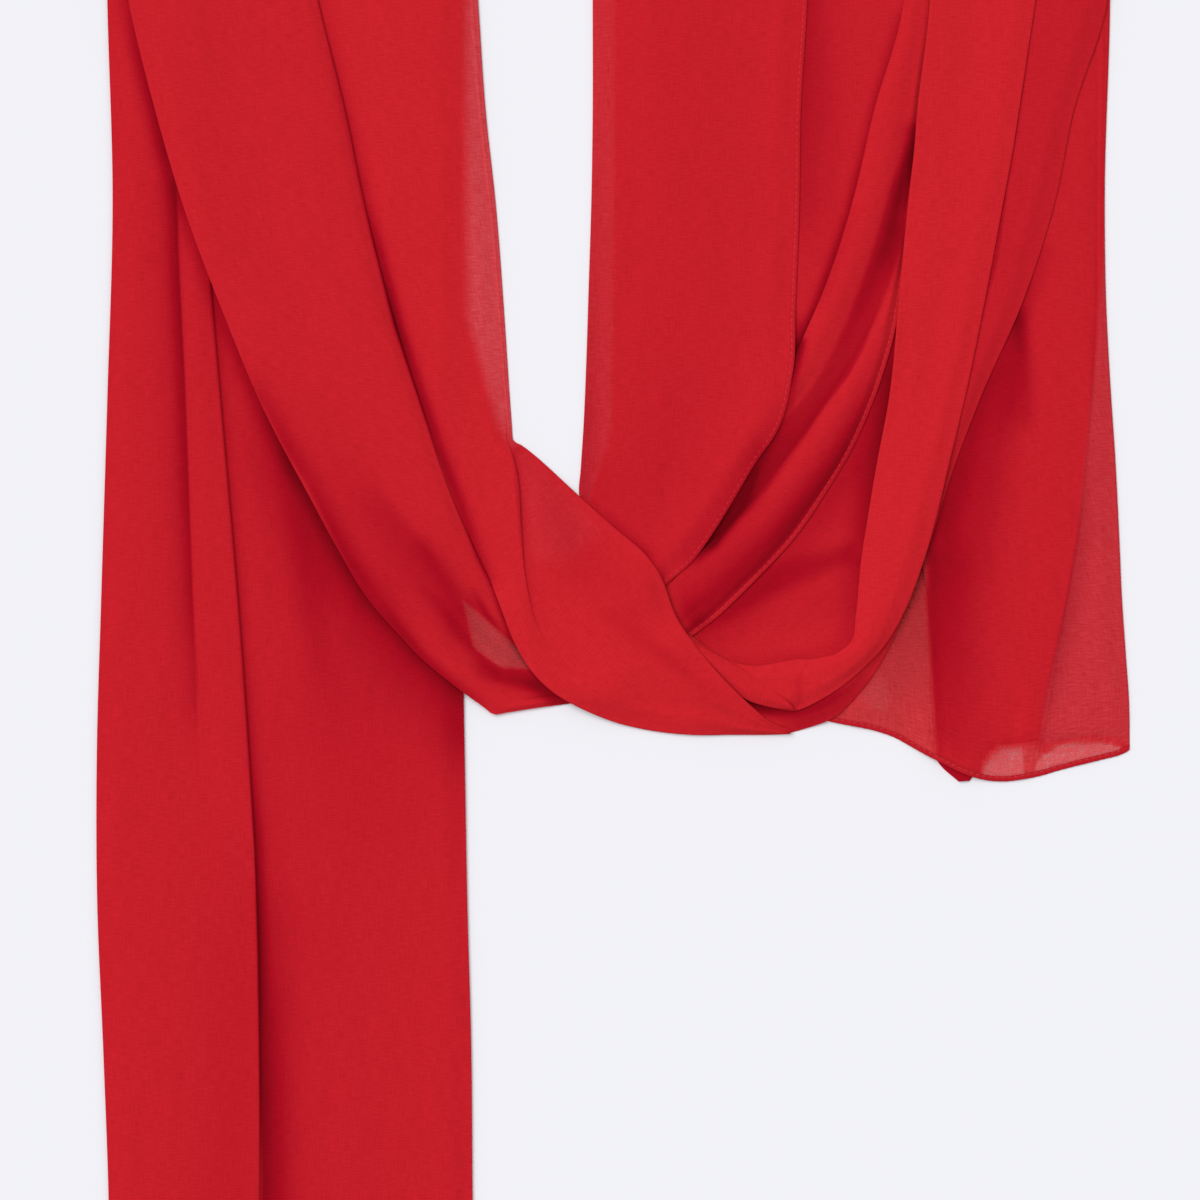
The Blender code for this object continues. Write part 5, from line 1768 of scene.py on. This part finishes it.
@dataclass
class LeftOuterFold(Stretch):
    """The left arm's outer fold, which passes under the crossing fold and ends at the foot of the loop."""

    name: str = "left_outer_fold"
    turn: Turn | None = LEFT_TURN
    pack: float = 2.4
    edge_share: float = 0.50
    right_share: float | None = 0.62
    rests_on: tuple[str, ...] = ("left_tail",)
    left_edge: EdgeForm = EdgeForm.LAYERED
    right_edge: EdgeForm = EdgeForm.LAPPED
    ripple: Ripple = Ripple(67, 0.07)
    row_pitch: float = 1.7
    column_pitch: float = 1.0
    tint: float = 0.08
    shaded_creases: tuple[ShadedCrease, ...] = read_shaded_creases(
        (1.12, 5.25, 0, 1, (-140.2, 125.1, 0.05), (-130.9, 108.2, 0.3), (-122.2, 91.3, 0.4),
         (-114, 78.2, 0.35), (-99, 49.3, 0.42), (-85.9, 32.8, 0.3), (-76.5, 20.1, 0.1)),
        (1.12, 3, 0, 1, (-114, 73.7, 0.1), (-103.9, 54.9, 0.3), (-91.9, 35.1, 0.55), (-80.2, 22.7, 0.6),
         (-70.9, 12.2, 0.55), (-63.4, 5.4, 0.5), (-55.5, -0.9, 0.4), (-50.2, -4.3, 0.2)),
        (3.38, 1.88, 0, 1, (-70.9, 38.8, 0.1), (-65.2, 33.9, 0.2), (-59.6, 25.7, 0.36), (-54.8, 20.1, 0.42),
         (-49.5, 12.6, 0.35), (-43.5, 8.1, 0.3)),
        (1.5, 1.5, 0, 1, (-52.5, 38.1, 0.2), (-47.6, 29.4, 0.5), (-42.8, 23.1, 0.35), (-37.9, 17.8, 0.4),
         (-33, 12.6, 0.5)),
        (15, 15, 0, 1, (-117.8, 102.6, 0.06), (-95.2, 65.1, 0.12), (-78.4, 42.6, 0.16), (-72.8, 35.1, 0.1)),
        (9, 3.38, 0.8, 1, (-97.1, 83.8, 0.05), (-82.1, 65.1, 0.22), (-69, 50.1, 0.3), (-62.2, 36.9, 0.3),
         (-58.5, 25.7, 0.2)),
        (3.75, 3.75, 0.5, 1, (-70.9, 55.7, 0.18), (-59.6, 38.8, 0.26), (-54, 32.8, 0.1)),
        (3.38, 4.5, 0.9, 1, (-48.8, 8.1, 0.3), (-42.8, 6.2, 0.45), (-36, 4.7, 0.64), (-29.6, 3.2, 0.82),
         (-22.1, -1.3, 0.8), (-18, -3.2, 0.7)),
        (1.12, 4.5, 0, 1, (-111, 260.1, 0.15), (-100.1, 212.8, 0.3), (-94.1, 185.4, 0.35),
         (-88.1, 163.7, 0.8), (-81.8, 138.2, 1), (-74.2, 115.7, 0.85), (-65.2, 89.4, 0.7),
         (-57.8, 70.7, 0.6), (-51, 51.2, 0.6), (-46.5, 41.4, 0.45), (-42, 30.2, 0.5), (-38.2, 19.7, 0.5),
         (-32.6, 10.3, 0.6), (-26.6, 3.6, 0.68)),
        (5.25, 5.25, 0, 1, (-55.5, 31.3, 0.4), (-51, 23.8, 0.45), (-45.8, 18.2, 0.4), (-37.1, 13.3, 0.4)),
    )
    sheer: tuple[Patch, ...] = patched(
        (0.82, 0.9, (-56.6, 35.1), (-52.5, 17.1), (-42.8, 9.9), (-31.1, 9.2), (-35.2, 16.3), (-46.9, 26.8)),
    )
    sections: Sections = table(
        "left_x left_y right_x right_y at_1 crest_1 at_2 crest_2",
        (-190, 334.7, -123.5, 334.7, 0.45, 0, 0.9, 0.5),
        (-187.5, 294, -118, 294, 0.45, 0, 0.9, 0.5),
        (-182, 260, -111, 260, 0.45, 0, 0.9, 0.6),
        (-171.5, 217, -100.5, 217, 0.45, 0, 0.9, 0.7),
        (-162.1, 185, -94, 185.5, 0.45, 0, 0.9, 0.9),
        (-145.8, 141, -82, 138, 0.45, 0, 0.9, 1),
        (-133, 110, -73, 110, 0.45, -0.1, 0.9, 0.9),
        (-114, 73.5, -61, 74, 0.45, -0.3, 0.88, 0.5),
        (-104, 55, -53.5, 56.5, 0.47, -0.45, 0.86, 0.3),
        (-92, 35, -46.8, 42.5, 0.5, -0.6, 0.84, 0.1),
        (-81.5, 23, -41.3, 31, 0.5, -0.7, 0.82, 0),
        (-71, 12, -35.5, 19, 0.5, -0.8, 0.8, -0.2),
        (-56, 0, -27.5, 9.5, 0.48, -0.9, 0.8, -0.2),
        (-48.6, -5.3, -24, 5.6, 0.46, -0.8, 0.8, -0.1),
        (-45, -7.9, -22.5, 3.7, 0.45, -0.8, 0.8, 0),
        (-41, -7.3, -20.4, 3.6, 0.45, -0.7, 0.8, 0),
        (-29.5, -5.5, -14.5, 3.5, 0.45, -0.5, 0.8, 0),
        (-14.5, -3.5, -5, 5, 0.5, 0, 0.8, 0),
        (-1.5, -1.5, 2, 7, 0.5, 0, 0.8, 0),
    )


@dataclass
class CrossingFold(Stretch):
    """The left arm's inner fold, which crosses over the foot of both arms.

    over is 0 where it lies beside the left arm's outer fold and 1 where it has crossed onto it.  sunk is
    how far its tip has dropped towards the fold below it.
    """

    name: str = "crossing_fold"
    turn: Turn | None = LEFT_TURN
    pack: float = 2.4
    right_share: float | None = 0.28
    rests_on: tuple[str, ...] = ("left_tail", "left_outer_fold", "right_panel", "side_rolls", "cowl_fold")
    slot: str = "chiffon_bright"
    ripple: Ripple = Ripple(71, 0.06)
    tip: float = 0.45  # share of the thickness that is left at its tip
    tip_run: float = 16.0
    dip: float = 0.3  # how far its left edge dips beside the outer fold
    dip_run: float = 2.4
    clear: float = 0.38  # height of the layer that runs on beneath that edge
    clear_run: float = 3.2
    tint: float = 0.03
    shaded_creases: tuple[ShadedCrease, ...] = read_shaded_creases(
        (1.88, 3, 0, 1, (-111, 260.1, 0.1), (-100.1, 212.8, 0.3), (-94.1, 185.4, 0.35), (-88.1, 163.7, 0.6),
         (-81.8, 138.2, 0.85), (-74.2, 115.7, 0.62), (-65.2, 89.4, 0.62), (-57.8, 70.7, 0.5),
         (-51, 51.2, 0.42), (-46.9, 42.6, 0.3)),
        (0.75, 6, 0, 1, (-111, 260.1, 0.1), (-94.1, 185.4, 0.1), (-81.8, 138.2, 0.12), (-65.2, 89.4, 0.1),
         (-54, 57.6, 0.06)),
        (0.56, 3, 0, 1, (-37.9, 95.1, 0.2), (-36.4, 75.2, 0.24), (-34.9, 57.6, 0.2), (-32.6, 38.8, 0.12),
         (-30.4, 25.7, 0.05)),
        (7.5, 7.5, 0, 1, (-29.6, 91.3, 0.06), (-24, 76.3, 0.12), (-18.4, 61.3, 0.12), (-16.5, 46.3, 0.05)),
        (11.25, 11.25, 0, 1, (-20.2, 65.1, 0.08), (-5.2, 46.3, 0.1), (9.8, 31.3, 0.08)),
        (3, 3, 0.2, 1, (-1.5, 29.4, 0.08), (13.5, 18.2, 0.14), (28.5, 6.9, 0.14), (41.6, -2.4, 0.05)),
    )
    thins: tuple[Patch, ...] = patched(
        (0.5, 6, (-55.1, 305.1), (-55.1, 185.1), (-54.4, 140.1), (-48.8, 120.6), (-42.8, 100.7),
         (-37.9, 93.6), (-33.4, 95.1), (-35.2, 119.4), (-37.5, 148.3), (-40.9, 188.4), (-44.2, 224.1),
         (-46.9, 260.1), (-49.9, 305.1)),
        (0.08, 8, (-36.4, 91.3), (-25.9, 83.8), (-14.6, 72.6), (-5.2, 61.3), (-16.5, 50.1), (-31.5, 50.1),
         (-34.5, 72.6)),
    )
    sections: Sections = table(
        "left_x left_y right_x right_y at_1 before_1 after_1 over sunk",
        (-123, 334.7, -55, 334.7, 0.93, 0, 0, 0, 0),
        (-117.5, 294, -53.5, 294, 0.93, 0, 0, 0, 0),
        (-110.5, 260, -51, 260, 0.93, 0, 0, 0, 0),
        (-100, 217, -48, 217, 0.93, 0, 0, 0, 0),
        (-93.5, 185.5, -44.5, 185, 0.93, 0, 0, 0, 0),
        (-81.5, 138, -41, 140, 0.93, 0, 0, 0, 0),
        (-72.5, 110, -39, 110, 0.93, 0.1, 0, 0, 0),
        (-68.2, 97, -38.2, 99.5, 0.93, 0.3, 0, 0, 0),
        (-67, 93, -37.8, 95, 0.92, 0.5, 0, 0, 0),
        (-65, 87.5, -35, 93.3, 0.86, 0.8, -0.1, 0, 0),
        (-60.5, 74, -29, 88.7, 0.75, 0.9, -0.2, 0, 0),
        (-53, 56.5, -13, 74, 0.45, 1, -0.2, 0, 0),
        (-46.5, 42.5, 1, 61.5, 0.27, 0.8, 0, 0.1, 0),
        (-42, 31, 6.5, 57, 0.21, 0.6, 0, 1, 0),
        (-38, 20.5, 11.5, 52.5, 0.18, 0.4, 0.1, 1, 0),
        (-32.5, 10.5, 17, 45, 0.18, 0.1, 0.1, 1, 0),
        (-20, -1.5, 23, 29.5, 0.3, 0, 0, 1, 0),
        (-2, -10, 28, 21.5, 0.35, 0, 0, 1, 0),
        (11.5, -13.5, 34.5, 13, 0.4, -0.1, -0.1, 1, 0),
        (28.5, -15.5, 43.5, 3, 0.5, -0.2, -0.2, 1, 0),
        (45.5, -15.5, 53, -6, 0.5, -0.1, -0.1, 1, 1.6),
        (57.5, -15.5, 60, -11.5, 0.5, 0, 0, 1, 2.8),
        (65.8, -15.2, 66.6, -13.9, 0.5, 0, 0, 1, 3.2),
    )

    def level(self, across: Array) -> Array:
        """Measure the pack, which thins to its tip.

        Args:
            across: Distances across each section.

        Returns:
            The thickness there, where the left edge dips beside the outer fold until it crosses over it.
        """
        apart = 1 - self.rows["over"][:, None]
        along = self.rows["along"][:, None]
        tip = self.tip + (1 - self.tip) * eased((along[-1] - along) / self.tip_run)
        dip = self.dip * apart * np.exp(-((across / self.dip_run) ** 2))
        return tip * super().level(across) - dip

    def height(self, across: Array, share: Array | float = 1.0, rise: Array | float = 0.0) -> Array:
        """The height of the cloth, whose left edge is clear of the layer that runs on beneath it."""
        clear = self.clear * (1 - share) * np.exp(-((across / self.clear_run) ** 4))
        return super().height(across, share, rise) + clear


@dataclass(frozen=True)
class Studio:
    """A pale floor, soft light from the upper left and a camera straight above."""

    frame: float = 0.45  # width of the view
    centre: tuple[float, float] = (-0.00525, 0.03506)
    distance: float = 3.6
    sensor: float = 36.0
    floor_side: float = 4.0
    floor_drop: float = 0.0002  # how far it lies below the cloth
    floor_colour: Colour = (0.865, 0.867, 0.912)
    key: float = 1.78
    softness: float = 50.0  # degrees of sky that the key light fills
    lean: tuple[float, float] = (-19.0, -22.0)  # degrees from straight above
    fill: float = 0.527

    @staticmethod
    def placed(name: str, data: bpy.types.ID) -> Piece:
        """Put something in the scene.

        Args:
            name: Its name.
            data: Its mesh, light or camera.

        Returns:
            The object that holds it.
        """
        thing = bpy.data.objects.new(name, data)
        bpy.context.scene.collection.objects.link(thing)
        return thing

    def floor(self) -> None:
        """Lay the floor just under the cloth."""
        mesh = bpy.data.meshes.new("floor")
        corners = ((-1, -1), (1, -1), (1, 1), (-1, 1))
        level = [(x * self.floor_side, y * self.floor_side, -self.floor_drop) for x, y in corners]
        mesh.from_pydata(level, [], [(0, 1, 2, 3)])
        nodes = NodeTree("pale_floor")
        base = {"Base Color": (*self.floor_colour, 1.0), "Roughness": 0.95, "Specular IOR Level": 0.0}
        nodes.feed(nodes.finish, base)
        mesh.materials.append(nodes.material)
        self.placed("floor", mesh)

    def lights(self) -> None:
        """Light the cloth softly from the upper left, and evenly from all round."""
        sun = bpy.data.lights.new("key", "SUN")
        sun.energy = self.key
        sun.angle = math.radians(self.softness)
        self.placed("key", sun).rotation_euler = (*(math.radians(turn) for turn in self.lean), 0.0)
        world = bpy.data.worlds.new("studio")
        world.use_nodes = True
        sky = world.node_tree.nodes["Background"]
        sky.inputs["Color"].default_value = (1.0, 1.0, 1.0, 1.0)
        sky.inputs["Strength"].default_value = self.fill
        bpy.context.scene.world = world
        bpy.context.scene.view_settings.view_transform = "Standard"

    def camera(self) -> None:
        """Look straight down at the middle of the loop through a long lens."""
        lens = bpy.data.cameras.new("camera")
        lens.type = "PERSP"
        lens.sensor_width = self.sensor
        lens.lens = self.sensor * self.distance / self.frame
        lens.clip_end = 20.0
        eye = self.placed("camera", lens)
        eye.location = (*self.centre, self.distance)
        bpy.context.scene.camera = eye

    def build(self) -> None:
        """Set up the studio."""
        self.floor()
        self.lights()
        self.camera()


def main() -> None:
    """Lay the scarf down from the table up, sew its hems and light it."""
    logging.basicConfig(level=logging.INFO, format="%(message)s")
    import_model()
    heap = Heap()
    for stretch in (LongTail(), UnderCorner(), ShortTail(), OuterFold(), UnderPanel(), CowlFloor()):
        stretch.build(heap)
    for stretch in (SideRolls(), RightPanel(), CowlFold(), CowlLip()):
        stretch.build(heap)
    before_arm = deepcopy(heap)
    LeftOuterFold().build(heap)
    CrossingFold().build(heap, [before_arm, heap])
    Studio().build()


if __name__ == "__main__":
    main()
